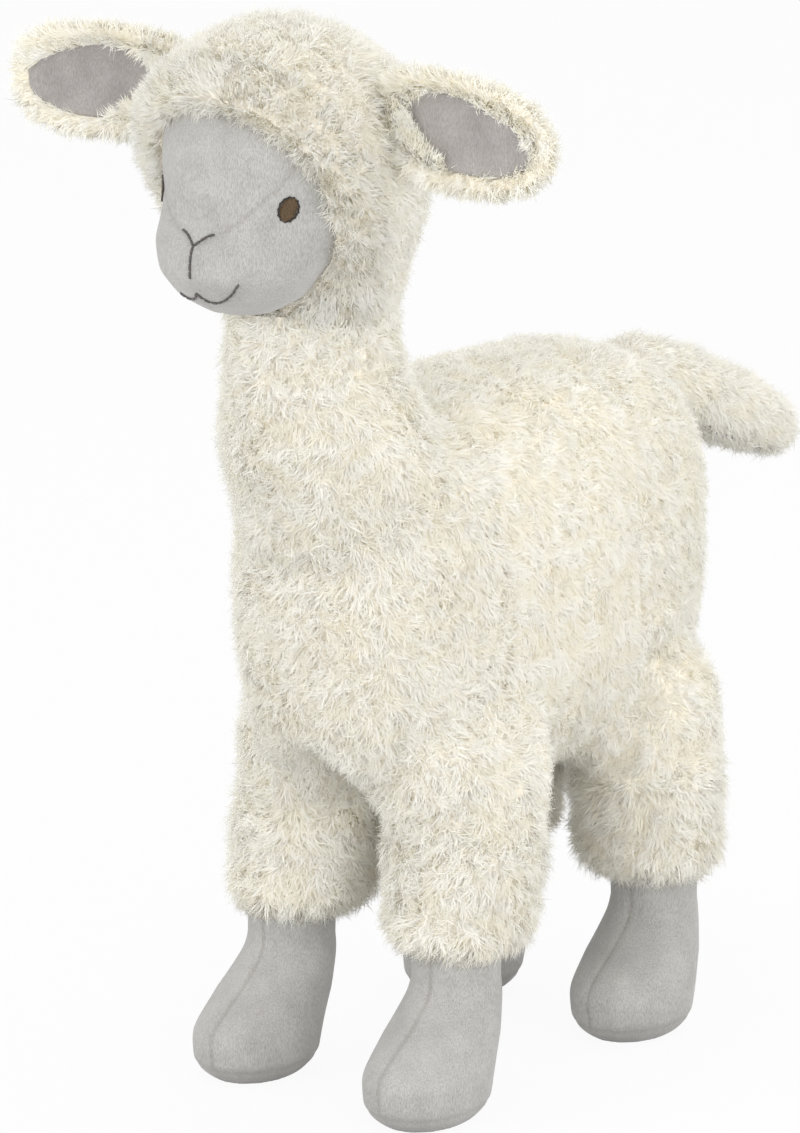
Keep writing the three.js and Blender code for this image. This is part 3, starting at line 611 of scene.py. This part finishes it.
def planted(name, skin, comb, seed, share=1.0, reach=1.0, lean=(15, 80), stray=1.0, curl=55, keep=None):
    """Plants locks of pile on a skin. comb gives the way that they are brushed at each root. They lean over
    towards it by the angles of lean at root and tip, go astray in patches, gather into tufts and curl sideways.
    Their normals follow the skin, as a fleece seen from a step away takes the light."""
    rng = np.random.default_rng(seed)
    roots, facing = roots_on(skin, sizes().locks_per_square_cm * share, rng)
    if keep is not None:
        kept = keep(roots, facing)
        roots, facing = roots[kept], facing[kept]
    count = len(roots)
    lead = rng.choice(count, max(count // LOCKS_IN_TUFT, 1), replace=False)
    follows = nearest_of(roots[lead], roots)
    patch = drift(roots[lead], PATCH, 3)[follows]
    swirl = drift(roots[lead], SWIRL, 5)[follows]
    own = rng.normal(size=(count, 3))
    way = unit(comb(roots, facing) + stray * (1.4 * patch + 2 * swirl + 0.5 * own))
    way = unit(way - (way * facing).sum(axis=1, keepdims=True) * facing)
    side = np.cross(facing, way)
    height = lumps(roots)
    tall = sizes().lock_length * reach * np.clip(0.82 + 0.3 * height + 0.14 * rng.normal(size=count), 0.45, 1.5)
    first, last = (np.radians(angle) for angle in lean)
    first = first + rng.normal(0, 0.15, count)
    last = last + rng.normal(0, 0.25, count)
    turn = np.radians(curl) * (1.6 * swirl[:, 0] + 0.5 * rng.normal(size=count))
    shape, faces = lock_template()

    def spine(share):
        bent = first + (last - first) * share
        spread = np.where(np.abs(last - first) < 0.05, 0.05, last - first)
        up = (np.sin(bent) - np.sin(first)) / spread
        run = (np.cos(first) - np.cos(bent)) / spread
        heading = way * np.cos(turn * share)[:, None] + side * np.sin(turn * share)[:, None]
        return roots + facing * (tall * up - ROOT_DEPTH)[:, None] + heading * (tall * run)[:, None]

    tips = spine(1.0)
    gather = (tips[lead][follows] - tips) * rng.uniform(0.0, 0.35, count)[:, None]
    width = sizes().lock_width * rng.uniform(0.6, 1.3, count)
    spin = rng.uniform(-0.7, 0.7, count)
    across = side * np.cos(spin)[:, None] + facing * np.sin(spin)[:, None]
    vertices = np.empty((count, len(shape), 3))
    for i, (x, y, z) in enumerate(shape):
        vertices[:, i] = spine(z) + gather * z ** 2 + across * (x * width)[:, None]
    # painted shade: locks in the creases between the lumps take a darker, warmer cream, with some tone that
    # differs at random
    crease_shade_and_tone = np.clip(0.08 + 0.7 * height + 0.08 * rng.normal(size=count), 0.03, 0.9)
    lit = unit(facing + 0.15 * swirl + 0.06 * own)
    return strewn(name, vertices, faces, shape, crease_shade_and_tone, lit)


def strewn(name, vertices, faces, shape, crease_shade_and_tone, lit):
    """A mesh of many bent copies of one small strip, each face turned to the side that its normal points to. The
    UV map says how far up its lock each point is, which sets the painted shade at its root, and how much painted
    crease shade the lock takes, with some tone that differs at random."""
    count, each = vertices.shape[:2]
    mesh = bpy.data.meshes.new(name)
    turns = faces[None] + (np.arange(count) * each)[:, None, None]
    a, b, c = (vertices.reshape(-1, 3)[turns[..., k]] for k in range(3))
    inward = (np.cross(b - a, c - a) * lit[:, None]).sum(axis=2) < 0
    turns[inward] = turns[inward][:, ::-1]
    corners = turns.reshape(-1)
    mesh.vertices.add(count * each)
    mesh.vertices.foreach_set("co", vertices.astype(np.float32).ravel())
    mesh.loops.add(len(corners))
    mesh.loops.foreach_set("vertex_index", corners.astype(np.int32))
    mesh.polygons.add(count * len(faces))
    mesh.polygons.foreach_set("loop_start", np.arange(0, len(corners), 3, dtype=np.int32))
    mesh.polygons.foreach_set("use_smooth", np.ones(count * len(faces), bool))
    u = (crease_shade_and_tone[:, None] + 0.05 * (shape[None, :, 0] + 0.5)).reshape(-1)[corners]
    v = np.tile(shape[:, 2] * 0.96 + 0.02, count)[corners]
    layer = mesh.uv_layers.new(name="OFBake")
    layer.data.foreach_set("uv", np.stack([u, v], axis=1).astype(np.float32).ravel())
    mesh.update(calc_edges=True)
    mesh.normals_split_custom_set_from_vertices(np.repeat(lit, each, axis=0).tolist())
    piece = bpy.data.objects.new(name, mesh)
    bpy.context.scene.collection.objects.link(piece)
    return dressed(piece, "pile", "polyester_pile")


def brushed_to(*way):
    """Pile brushed one way all over."""
    return lambda roots, facing: np.tile(np.array(way, float), (len(roots), 1))


def numbers(vector):
    return np.array(vector, float)


def ahead_of_head(places):
    """How far each place lies from the head's middle in the way that the face looks."""
    return (places - numbers(HEAD)) @ numbers(FACE_WAY)


def brushed_from_face(roots, facing):
    """Pile of the hood: out from the face round its opening, back and down elsewhere."""
    ahead = ahead_of_head(roots)
    away = unit(roots - numbers(HEAD) - ahead[:, None] * numbers(FACE_WAY))
    near = rise(ahead, 0, 10 * MM)[:, None]
    forward = near * (1 - np.clip(facing @ numbers(FACE_WAY), 0, 1))[:, None]
    return near * away * 0.5 + 0.35 * forward * numbers(FACE_WAY) + (1 - near) * np.array([0, 0.5, -0.8])


# Operators

class LLAMA_OT_pelt(bpy.types.Operator):
    """Make the pelt: one even skin over trunk, neck, hood and legs, parted where the toy bends"""
    bl_idname = "llama.pelt"
    bl_label = "Pelt"

    def execute(self, context):
        legs = [f"leg_{limb}_{part}" for limb in LIMBS for part in ("sleeve", "filling")]
        forms = [hulled(TRUNK), hulled(HOOD)] + [
            gathered([n]) for n in ["neck_side_left", "neck_side_right", "neck_filling"] + legs]
        forms += [
            swelling((sign * x, y, z), radii) for sign in SIDES.values() for (x, y, z), radii in BULGES]
        whole = joined("whole_pelt", forms)
        padded_out(whole, sizes().pelt_voxel, 10, -sizes().pelt_depth)
        reshaped(whole, tucked)
        stuffed(whole, 5 * MM, sizes().stuffing)
        fleeced(whole)
        up, down, out = Vector((0, 0, 1)), Vector((0, 0, -1)), Vector((1, 0, 0))
        head_cut, leg_cut = Vector((0, 0, HEAD_CUT)), Vector((0, 0, LEG_CUT))

        trunk = parted("pelt_torso", whole, [(NECK_CUT, NECK_WAY), (leg_cut, down)])
        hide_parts(*TRUNK, "torso_filling")
        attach(trunk, "torso")
        neck = parted("pelt_neck", whole, [(NECK_CUT, -NECK_WAY), (head_cut, up)])
        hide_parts("neck_side_left", "neck_side_right", "neck_filling")
        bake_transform(neck)
        throat = gathered(["neck_side_left", "neck_side_right", "neck_filling"])
        brim = bmesh.new()
        bmesh.ops.create_icosphere(brim, subdivisions=4, radius=BRIM_RADIUS, matrix=Matrix.Translation(HEAD))
        closed_behind(brim, HEAD + BRIM_WAY * BRIM_REACH, BRIM_WAY)
        hood = joined("whole_hood", [hulled(HOOD), throat, brim])
        padded_out(hood, sizes().hood_voxel, 9, -sizes().pelt_depth)
        stuffed(hood, 4 * MM, sizes().stuffing * 3, behind_face)
        fleeced(hood)
        head = parted("pelt_head", hood, [(head_cut, down)])
        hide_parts(*HOOD)
        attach(head, "head")
        pieces = [trunk, neck, head]
        for limb in LIMBS:
            hip = pivot(f"leg_{limb}_swing")
            inner = out if hip.x < 0 else -out
            lengthwise = Vector((0, 1 if "front" in limb else -1, 0))
            middle = Vector((0, MID_Y, 0))
            leg = parted(f"pelt_leg_{limb}", whole, [(leg_cut, up), (middle, inner), (middle, lengthwise)])
            reshaped(leg, hemmed)
            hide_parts(f"leg_{limb}_sleeve", f"leg_{limb}_filling")
            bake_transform(leg)
            pieces.append(leg)
        for piece in pieces:
            dressed(piece, "pile", "knitted_backing", "knitted_backing")
        bpy.data.objects.remove(whole)
        bpy.data.objects.remove(hood)
        return {"FINISHED"}


def swelling(place, radii):
    """A soft bulge of the filling: an ellipsoid in millimetres, that is joined to a cover."""
    form = bmesh.new()
    stand = Matrix.Translation(Vector(place) * MM) @ Matrix.Diagonal((*radii, 1)) @ Matrix.Scale(MM, 4)
    bmesh.ops.create_icosphere(form, subdivisions=3, radius=1, matrix=stand)
    return form


def behind_face(places):
    """1 behind the face's opening, falling to 0 at its rim, where the hood is sewn to the face."""
    return fall(ahead_of_head(places), 8 * MM, 16 * MM)


def tucked(places, normals):
    """Draws the chest's underside up between the front legs."""
    x, y, z = places.T
    between = hill(x, 0, 12.5 * MM) * fall(y, -28 * MM, 14 * MM)
    low = rise(z, 67 * MM, 24 * MM) * fall(z, 138 * MM, 39 * MM)
    moved = places.copy()
    moved[:, 2] += 27 * MM * between * low
    return moved


def hemmed(places, normals):
    """Draws the lower end of a leg's sleeve down over its boot, and out to a squarer hem."""
    height = places[:, 2]
    moved = places.copy()
    moved[:, 2] -= 6 * MM * fall(height, 86 * MM, 26 * MM) ** 2
    moved[:, :2] += normals[:, :2] * (3 * MM * fall(height, 76 * MM, 14 * MM))[:, None]
    return moved


class LLAMA_OT_tail(bpy.types.Operator):
    """Make the tail's pelt and its velour underside"""
    bl_idname = "llama.tail"
    bl_label = "Tail"

    def execute(self, context):
        tail = joined("pelt_tail", [hulled(["tail_top", "tail_filling"])])
        padded_out(tail, sizes().hood_voxel, 8, -sizes().pelt_depth)
        stuffed(tail, 2 * MM, sizes().stuffing * 3)
        fleeced(tail)
        dressed(tail, "pile", "knitted_backing")
        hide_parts("tail_top", "tail_filling")
        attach(tail, "tail")
        under = joined("tail_lining", [gathered(["tail_underside"])])
        padded_out(under, 0.9 * MM, 30, -0.3 * MM)
        dressed(under, "lining", "lining_velour")
        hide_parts("tail_underside")
        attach(under, "tail")
        return {"FINISHED"}


class LLAMA_OT_ears(bpy.types.Operator):
    """Make the ears: a pile back and a cupped velour lining"""
    bl_idname = "llama.ears"
    bl_label = "Ears"

    def execute(self, context):
        for side in SIDES:
            back = joined(f"pelt_ear_{side}", [gathered([f"ear_{side}_back"])])
            padded_out(back, 1.5 * MM, 6, -0.2 * MM)
            dressed(back, "pile", "knitted_backing")
            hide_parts(f"ear_{side}_back")
            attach(back, f"ear_{side}")
            lining = joined(f"ear_lining_{side}", [gathered([f"ear_{side}_lining"])])
            padded_out(lining, 0.8 * MM, 8, 0.25 * MM)
            dressed(lining, "lining", "lining_velour")
            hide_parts(f"ear_{side}_lining")
            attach(lining, f"ear_{side}")
        return {"FINISHED"}


class LLAMA_OT_face(bpy.types.Operator):
    """Make the velour face: a smooth egg with a low muzzle and the seams of its forehead panel"""
    bl_idname = "llama.face"
    bl_label = "Face"

    def execute(self, context):
        skull = bmesh.new()
        bmesh.ops.create_icosphere(skull, subdivisions=4, radius=SKULL_RADIUS, matrix=Matrix.Translation(HEAD))
        egg = joined("face", [hulled(FACE), skull])
        padded_out(egg, sizes().velour_voxel, 26, 0.9 * MM)
        reshaped(egg, flattened)
        for side in SIDES:
            hollowed(egg, sum(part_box(f"eye_{side}"), Vector()) / 2, 13 * MM, 2.2 * MM)
        drawn_in(egg, [FOREHEAD_SEAM, [(-x, z) for x, z in FOREHEAD_SEAM], CHIN_SEAM])
        dressed(egg, "velour", "grey_velour")
        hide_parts(*FACE, "head_filling")
        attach(egg, "head")
        return {"FINISHED"}


def flattened(places, normals):
    """Draws in the bridge of the muzzle, so that the face runs nearly straight from nose to mouth."""
    x, y, z = (places - numbers(HEAD)).T
    dent = 5 * MM * np.exp(-((z + 17 * MM) / (11 * MM)) ** 2 - (x / (21 * MM)) ** 2) * (y < 0)
    moved = places.copy()
    moved[:, 1] += dent
    return moved


def hollowed(piece, place, width, depth):
    """Makes a shallow hollow in a piece round a place."""
    def move(places, normals):
        near = np.exp(-((places - numbers(place)) ** 2).sum(axis=1) / width ** 2)
        return places - normals * (depth * near)[:, None]
    return reshaped(piece, move)


def drawn_in(piece, lines):
    """Draws the velour in along seams, each a line of millimetres across and up from the head's middle."""
    lines = [[Vector(point) * MM for point in line] for line in lines]

    def move(places, normals):
        flat = places[:, [0, 2]] - numbers((HEAD.x, HEAD.z))
        nearest = np.full(len(places), np.inf)
        for line in lines:
            for start, end in zip(line, line[1:]):
                along = numbers(end - start)
                share = np.clip(((flat - numbers(start)) @ along) / (along @ along), 0, 1)
                gap = np.linalg.norm(flat - numbers(start) - share[:, None] * along, axis=1)
                nearest = np.minimum(nearest, gap)
        nearest[places[:, 1] > HEAD.y - 8 * MM] = np.inf
        # painted shade along the face's seams
        marked(piece, 0.65 * hill(nearest, 0, 0.6 * sizes().seam_width))
        return places - normals * (sizes().seam_depth * hill(nearest, 0, sizes().seam_width))[:, None]
    return reshaped(piece, move)


def marked(piece, seam):
    """Keeps how near each vertex lies to a seam, for the painted shade that the velour's material lays along it.
    """
    mark = piece.data.attributes.new("seam", "FLOAT", "POINT")
    mark.data.foreach_set("value", seam.astype(np.float32))


class LLAMA_OT_embroidery(bpy.types.Operator):
    """Stitch the eyes, nose and mouth"""
    bl_idname = "llama.embroidery"
    bl_label = "Embroidery"

    def execute(self, context):
        face = surface_of(bpy.data.objects["face"])
        for side, sign in SIDES.items():
            self.eye(face, side, sign)
        mouth = (SMILE, [(-x, z) for x, z in SMILE[:5]])
        for name, lines in (("nose_stitching", NOSE), ("mouth_stitching", mouth)):
            form = bmesh.new()
            for line in lines:
                points = [HEAD + Vector((x * MM, -0.06, z * MM)) for x, z in line]
                backstitch(form, face, points, Vector((0, -1, 0)))
            piece = joined(f"{name}_thread", [form])
            dressed(piece, "mouth_thread", "grey_thread")
            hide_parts(name)
            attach(piece, "head")
        return {"FINISHED"}

    def eye(self, face, side, sign):
        """One eye: rows of satin stitch in a tilted oval, and a dark outline of overlapping stitches."""
        # the right eye sits a little nearer the nose, and higher
        inward = 0 if side == "left" else 4.5
        shift = Vector((-inward * sign, -0.4 * inward, 1.8 + 0.4 * inward)) * MM
        low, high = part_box(f"eye_{side}")
        toward = ((low + high) / 2 + shift - HEAD).normalized()
        across = Vector((0, 0, 1)).cross(toward).normalized() * sign
        upright = (toward.cross(across) * sign).normalized()
        right = (across * math.cos(EYE_TILT) + upright * math.sin(EYE_TILT))
        above = (upright * math.cos(EYE_TILT) - across * math.sin(EYE_TILT))
        middle = HEAD + toward * 0.03
        satin, rim = bmesh.new(), bmesh.new()
        rows, turns = 15, 26
        for row in range(rows):
            v = (row + 0.5) / rows * 2 - 1
            half = math.sqrt(1 - v * v) * sizes().eye_width / 2
            line = [middle + right * half * t + above * v * sizes().eye_height / 2 for t in (-1, -0.5, 0, 0.5, 1)]
            stitch(satin, face, line, toward, 0.36 * MM, 0.3 * MM)
        for turn in range(turns):
            reach = 0.96 if turn % 2 else 1.02
            angles = [(turn + step) / turns * 2 * math.pi for step in (0, 0.5, 1.12)]
            line = [middle + right * math.cos(angle) * sizes().eye_width / 2 * reach
                    + above * math.sin(angle) * sizes().eye_height / 2 * reach for angle in angles]
            stitch(rim, face, line, toward, 0.45 * MM, 0.25 * MM)
        eye = joined(f"eye_{side}_satin", [satin])
        dressed(eye, "eye_thread", "brown_thread")
        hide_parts(f"eye_{side}")
        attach(eye, "head")
        outline = joined(f"eye_{side}_outline", [rim])
        dressed(outline, "eye_thread", "rim_thread")
        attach(outline, "head")


def stitch(form, ground, line, toward, radius, height):
    """One thread laid on the face over a few points, thin at its ends where it goes through the velour."""
    ends = (0, len(line) - 1)
    laid = []
    for i, point in enumerate(line):
        hit, normal, _, _ = ground.ray_cast(point + toward * 0.04, -toward)
        if hit is None:
            raise RuntimeError("a stitch misses the face")
        laid.append((hit + normal * (-0.2 * MM if i in ends else height), radius * (0.55 if i in ends else 1)))
    last = []
    for i, (place, wide) in enumerate(laid):
        before, after = laid[max(i - 1, 0)][0], laid[min(i + 1, len(laid) - 1)][0]
        turn = (after - before).to_track_quat("Z", "X").to_matrix().to_4x4()
        stand = Matrix.Translation(place) @ turn
        ring = bmesh.ops.create_circle(form, cap_ends=i in ends, segments=6, radius=wide, matrix=stand)["verts"]
        edges = [e for e in {e for v in ring for e in v.link_edges} if all(v in ring for v in e.verts)]
        if last:
            bmesh.ops.bridge_loops(form, edges=last + edges)
        last = edges
    bmesh.ops.recalc_face_normals(form, faces=form.faces[:])
    for face in form.faces:
        face.smooth = True


def backstitch(form, ground, points, toward):
    """A row of stitches along a line, each as long as the others and meeting end to end."""
    steps = []
    for start, end in zip(points, points[1:]):
        count = max(int((end - start).length / (0.4 * MM)), 1)
        steps += [start.lerp(end, k / count) for k in range(count)]
    steps.append(points[-1])
    travelled, total = [0.0], 0.0
    for start, end in zip(steps, steps[1:]):
        total += (end - start).length
        travelled.append(total)
    count = max(round(total / sizes().stitch_length), 1)

    def at(distance):
        i = int(np.clip(np.searchsorted(travelled, distance), 1, len(steps) - 1))
        share = (distance - travelled[i - 1]) / max(travelled[i] - travelled[i - 1], 1e-9)
        return steps[i - 1].lerp(steps[i], min(max(share, 0), 1))

    for k in range(count):
        begin, finish = k * total / count, (k + 1) * total / count
        line = [at(begin + (finish - begin) * t) for t in (-0.06, 0.2, 0.5, 0.8, 1.06)]
        stitch(form, ground, line, toward, sizes().thread_width / 2, 0.25 * MM)


class LLAMA_OT_boots(bpy.types.Operator):
    """Make the velour boots, drawn in along their front, back and sole seams"""
    bl_idname = "llama.boots"
    bl_label = "Boots"

    def execute(self, context):
        for limb in LIMBS:
            parts = [f"boot_{limb}_{part}" for part in ("outer_half", "inner_half", "sole", "filling")]
            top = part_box(parts[3])[1].z
            tops = [v.co for v in frame["nodes"][parts[3]].data.vertices if v.co.z > top - 1 * MM]
            ankle = sum(tops, Vector()) / len(tops)
            shank = bmesh.new()
            stand = Matrix.Translation((ankle.x, ankle.y, 66 * MM))
            bmesh.ops.create_cone(
                shank, cap_ends=True, segments=20, radius1=16.6 * MM, radius2=15 * MM, depth=26 * MM, matrix=stand)
            boot = joined(f"boot_{limb}", [gathered(parts), shank])
            padded_out(boot, sizes().velour_voxel, 60, 1 * MM)
            shaped_boot(boot, ankle, sole=sum(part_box(parts[2]), Vector()) / 2)
            boot_seams(boot, middle=ankle.x + math.copysign(0.75 * MM, ankle.x))
            dressed(boot, "velour", "grey_velour")
            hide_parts(*parts)
            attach(boot, f"leg_{limb}")
        return {"FINISHED"}


def shaped_boot(boot, ankle, sole):
    """Slims a boot's ankle, rounds its toe, heel and lower edge, and hollows its instep."""
    def move(places, normals):
        moved = places.copy()
        _, y, height = places.T
        toe = hill(height, 23 * MM, 10.5 * MM) * fall(y, sole.y, 20 * MM) ** 2
        heel = hill(height, 0, 20 * MM) * rise(y - ankle.y, -4 * MM, 14 * MM)
        instep = hill(height, 42 * MM, 12 * MM) * fall(y, ankle.y, 12 * MM)
        moved[:, 1] += 2.2 * MM * instep - 4.4 * MM * toe - 4.5 * MM * heel
        slim = 0.13 * rise(height, 28 * MM, 18 * MM)
        rounded = 0.2 * fall(height, 9 * MM, 9 * MM) ** 2
        for middle, share in ((ankle, slim), (sole, rounded)):
            for axis in (0, 1):
                moved[:, axis] += (middle[axis] - moved[:, axis]) * share
        return moved
    return reshaped(boot, move)


def boot_seams(boot, middle):
    """Draws a boot's velour in along its upright seam and round its sole, and flattens it where it stands."""
    sole_seam = 6 * MM

    def move(places, normals):
        upright = hill(places[:, 0], middle, sizes().seam_width) * (places[:, 2] > sole_seam)
        around = hill(places[:, 2], sole_seam, sizes().seam_width)
        seam = np.maximum(upright, 0.8 * around)
        # painted shade along the boot's seams
        marked(boot, seam ** 3)
        moved = places - normals * (sizes().seam_depth * seam)[:, None]
        moved[:, 2] = np.maximum(moved[:, 2], 0)
        return moved
    return reshaped(boot, move)


class LLAMA_OT_pile(bpy.types.Operator):
    """Plant the pile on every pelt"""
    bl_idname = "llama.pile"
    bl_label = "Pile"

    def execute(self, context):
        self.trunk_and_neck()
        self.hood()
        self.legs()
        self.tail()
        for side, sign in SIDES.items():
            self.ear(side, sign)
        return {"FINISHED"}

    def trunk_and_neck(self):
        """The pile of chest, flanks, rump and neck, in halves left and right."""
        trunk, neck = (bpy.data.objects[name] for name in ("pelt_torso", "pelt_neck"))
        for i, (front, rear, lean, reach) in enumerate(TRUNK_BANDS):
            for side, sign in SIDES.items():
                def in_band(roots, facing):
                    x, y, _ = roots.T
                    return (y >= front) & (y < rear) & (x * sign >= 0)

                pile = planted(f"pile_torso_{i}_{side}", trunk, brushed_to(0, 0.3, -1),
                               seed=11 + i * 2 + (sign > 0), lean=lean, reach=reach, keep=in_band)
                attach(pile, "torso")
        for side, sign in SIDES.items():
            pile = planted(f"pile_neck_{side}", neck, brushed_to(0, 0, -1), seed=31 + sign,
                           keep=lambda roots, facing: roots[:, 0] * sign >= 0)
            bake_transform(pile)

    def hood(self):
        """The pile of the hood, shorter and more upright round the face's opening."""
        face, hood = surface_of(bpy.data.objects["face"]), bpy.data.objects["pelt_head"]

        def off_face(roots, facing):
            kept = []
            for root in roots:
                hit, normal, _, _ = face.find_nearest(root)
                kept.append((Vector(root) - hit).dot(normal) > 0.2 * MM)
            return np.array(kept)

        def round_face(roots):
            return ahead_of_head(roots) > 6 * MM

        for side, sign in SIDES.items():
            pile = planted(f"pile_head_{side}", hood, brushed_from_face, seed=41 + sign, reach=0.9,
                           keep=lambda roots, facing: (roots[:, 0] * sign >= 0) & ~round_face(roots))
            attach(pile, "head")
        rim = planted("pile_face_rim", hood, brushed_from_face, seed=45, reach=0.85, lean=(0, 55), share=1.4,
                      stray=0.7, keep=lambda roots, facing: round_face(roots) & off_face(roots, facing))
        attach(rim, "head")

    def legs(self):
        """The long pile of the legs, that hangs over the boots."""
        for i, limb in enumerate(LIMBS):
            sleeve = bpy.data.objects[f"pelt_leg_{limb}"]
            pile = planted(f"pile_leg_{limb}", sleeve, brushed_to(0, 0, -1.4), seed=51 + i, reach=1.15,
                           lean=(18, 76), curl=45)
            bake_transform(pile)

    def tail(self):
        """The tail's pile, and the fringe that hides the edge of its lining beyond the root."""
        brushed = brushed_to(*(TAIL_WAY + Vector((0, 0, -0.7))))
        pile = planted("pile_tail", bpy.data.objects["pelt_tail"], brushed, seed=61)
        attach(pile, "tail")
        along, below = numbers(TAIL_WAY), numbers(TAIL_WAY.cross(Vector((1, 0, 0))))

        def at_edge(roots, facing):
            return (np.abs(facing @ below) < 0.8) & ((roots - numbers(TAIL_ROOT)) @ along > 26 * MM)

        rim = planted("pile_tail_rim", bpy.data.objects["tail_lining"], brushed, seed=63, lean=(10, 70),
                      keep=at_edge)
        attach(rim, "tail")

    def ear(self, side, sign):
        """The ear's pile: over its back and round its rim, and from its root over the edge of the lining."""
        turn = numbers(EAR_TURN[side].to_3x3())
        hinge = numbers(pivot(f"ear_{side}_flop"))

        def local(roots):
            return (roots - hinge) @ turn

        def outside_lining(roots, facing):
            x, y, z = local(roots).T
            span = ((x - 33 * MM) / (33 * MM)) ** 2 + (z / (13 * MM)) ** 2
            return ((facing @ turn)[:, 1] > -0.25) | (span > 0.94)

        def outward(roots, facing):
            x, y, z = local(roots).T
            away = np.stack([(x - 30 * MM) * 0.5, 2 * MM - 0.3 * np.abs(y), z], axis=1)
            return unit(away) @ turn.T

        def over_edge(roots, facing):
            x, y, z = local(roots).T
            across = (z + 2 * MM) + 0.2 * (x - 42 * MM)
            span = ((x - 42 * MM) / (31 * MM)) ** 2 + (across / (12.5 * MM)) ** 2
            return ((facing @ turn)[:, 1] < 0) & (span > 1)

        def over_root(roots, facing):
            x, y, z = local(roots).T
            inward = np.stack([np.full(len(x), 1.0), np.zeros(len(x)), -0.7 * np.sign(z) * (x < 30 * MM)], axis=1)
            near = fall(x, 34 * MM, 10 * MM)[:, None]
            return near * unit(inward) @ turn.T + (1 - near) * outward(roots, facing)

        pelt, lining = (bpy.data.objects[f"{name}_{side}"] for name in ("pelt_ear", "ear_lining"))
        pile = planted(f"pile_ear_{side}", pelt, outward, seed=71 + sign, reach=0.85, lean=(35, 78), share=1.3,
                       stray=0.6, keep=outside_lining)
        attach(pile, f"ear_{side}")
        fold = planted(f"pile_ear_fold_{side}", lining, over_root, seed=75 + sign, reach=0.75, lean=(30, 78),
                       share=2.8, stray=0.6, keep=over_edge)
        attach(fold, f"ear_{side}")


class LLAMA_OT_stage(bpy.types.Operator):
    """Set the pale floor, the soft lamps and the camera"""
    bl_idname = "llama.stage"
    bl_label = "Stage"

    def execute(self, context):
        scene = context.scene
        form = bmesh.new()
        bmesh.ops.create_grid(form, x_segments=1, y_segments=1, size=8)
        floor = joined("floor", [form])
        # matt white paper: it glows near white for the camera alone, and keeps the toy's shadow
        paper = bpy.data.materials.new("white_paper")
        paper.use_nodes = True
        tree = paper.node_tree
        tree.nodes.clear()
        matt = node(tree, "ShaderNodeBsdfDiffuse", Color=(0.62, 0.62, 0.62, 1))
        glow = node(tree, "ShaderNodeEmission", Color=(1, 1, 1, 1), Strength=1.0)
        rays = node(tree, "ShaderNodeLightPath")
        share = node(tree, "ShaderNodeMath", [(rays.outputs["Is Camera Ray"], 0)], operation="MULTIPLY")
        share.inputs[1].default_value = 0.93
        mixed = node(tree, "ShaderNodeMixShader", [
            (share.outputs[0], "Fac"), (matt.outputs["BSDF"], 1), (glow.outputs["Emission"], 2)])
        out = node(tree, "ShaderNodeOutputMaterial")
        tree.links.new(mixed.outputs["Shader"], out.inputs["Surface"])
        floor.data.materials.append(paper)

        world = bpy.data.worlds.new("studio")
        world.use_nodes = True
        world.node_tree.nodes["Background"].inputs["Color"].default_value = (1, 1, 1, 1)
        world.node_tree.nodes["Background"].inputs["Strength"].default_value = 1.0
        scene.world = world
        for lamp in LAMPS:
            self.lamp(*lamp)

        level = math.cos(CAMERA_RISE)
        back = Vector((math.sin(CAMERA_TURN) * level, -math.cos(CAMERA_TURN) * level, math.sin(CAMERA_RISE)))
        camera = bpy.data.objects.new("camera", bpy.data.cameras.new("camera"))
        camera.data.lens = CAMERA_LENS
        camera.data.sensor_width = 36
        camera.data.clip_start, camera.data.clip_end = 0.05, 50
        camera.location = CAMERA_LOOKS_AT + back * CAMERA_DISTANCE
        camera.rotation_euler = (-back).to_track_quat("-Z", "Y").to_euler()
        scene.collection.objects.link(camera)
        scene.camera = camera
        scene.view_settings.view_transform = "Standard"
        return {"FINISHED"}

    def lamp(self, name, place, size, power):
        light = bpy.data.lights.new(name, "AREA")
        light.size = size
        light.energy = power
        lamp = bpy.data.objects.new(name, light)
        lamp.location = place
        lamp.rotation_euler = (Vector(place) - LAMPS_LOOK_AT).to_track_quat("Z", "Y").to_euler()
        bpy.context.scene.collection.objects.link(lamp)


class LLAMA_PT_panel(bpy.types.Panel):
    """Lists the toy's parts and sizes"""
    bl_label = "Plush llama"
    bl_idname = "LLAMA_PT_panel"
    bl_space_type = "VIEW_3D"
    bl_region_type = "UI"
    bl_category = "Llama"

    def draw(self, context):
        for operator in OPERATORS:
            self.layout.operator(operator.bl_idname)
        for group in (context.scene.llama_sizes, context.scene.llama_colours):
            column = self.layout.column()
            for name in group.bl_rna.properties.keys():
                if name not in ("rna_type", "name"):
                    column.prop(group, name)


OPERATORS = (
    LLAMA_OT_pelt, LLAMA_OT_tail, LLAMA_OT_ears, LLAMA_OT_face, LLAMA_OT_embroidery, LLAMA_OT_boots, LLAMA_OT_pile,
    LLAMA_OT_stage)
CLASSES = (LlamaSizes, LlamaColours, *OPERATORS, LLAMA_PT_panel)


def register():
    for kind in CLASSES:
        bpy.utils.register_class(kind)
    bpy.types.Scene.llama_sizes = bpy.props.PointerProperty(type=LlamaSizes)
    bpy.types.Scene.llama_colours = bpy.props.PointerProperty(type=LlamaColours)


def unregister():
    del bpy.types.Scene.llama_sizes
    del bpy.types.Scene.llama_colours
    for kind in reversed(CLASSES):
        bpy.utils.unregister_class(kind)


def main():
    register()
    bpy.ops.llama.pelt()
    bpy.ops.llama.tail()
    bpy.ops.llama.ears()
    bpy.ops.llama.face()
    bpy.ops.llama.embroidery()
    bpy.ops.llama.boots()
    bpy.ops.llama.pile()
    bpy.ops.llama.stage()


if __name__ == "__main__":
    main()
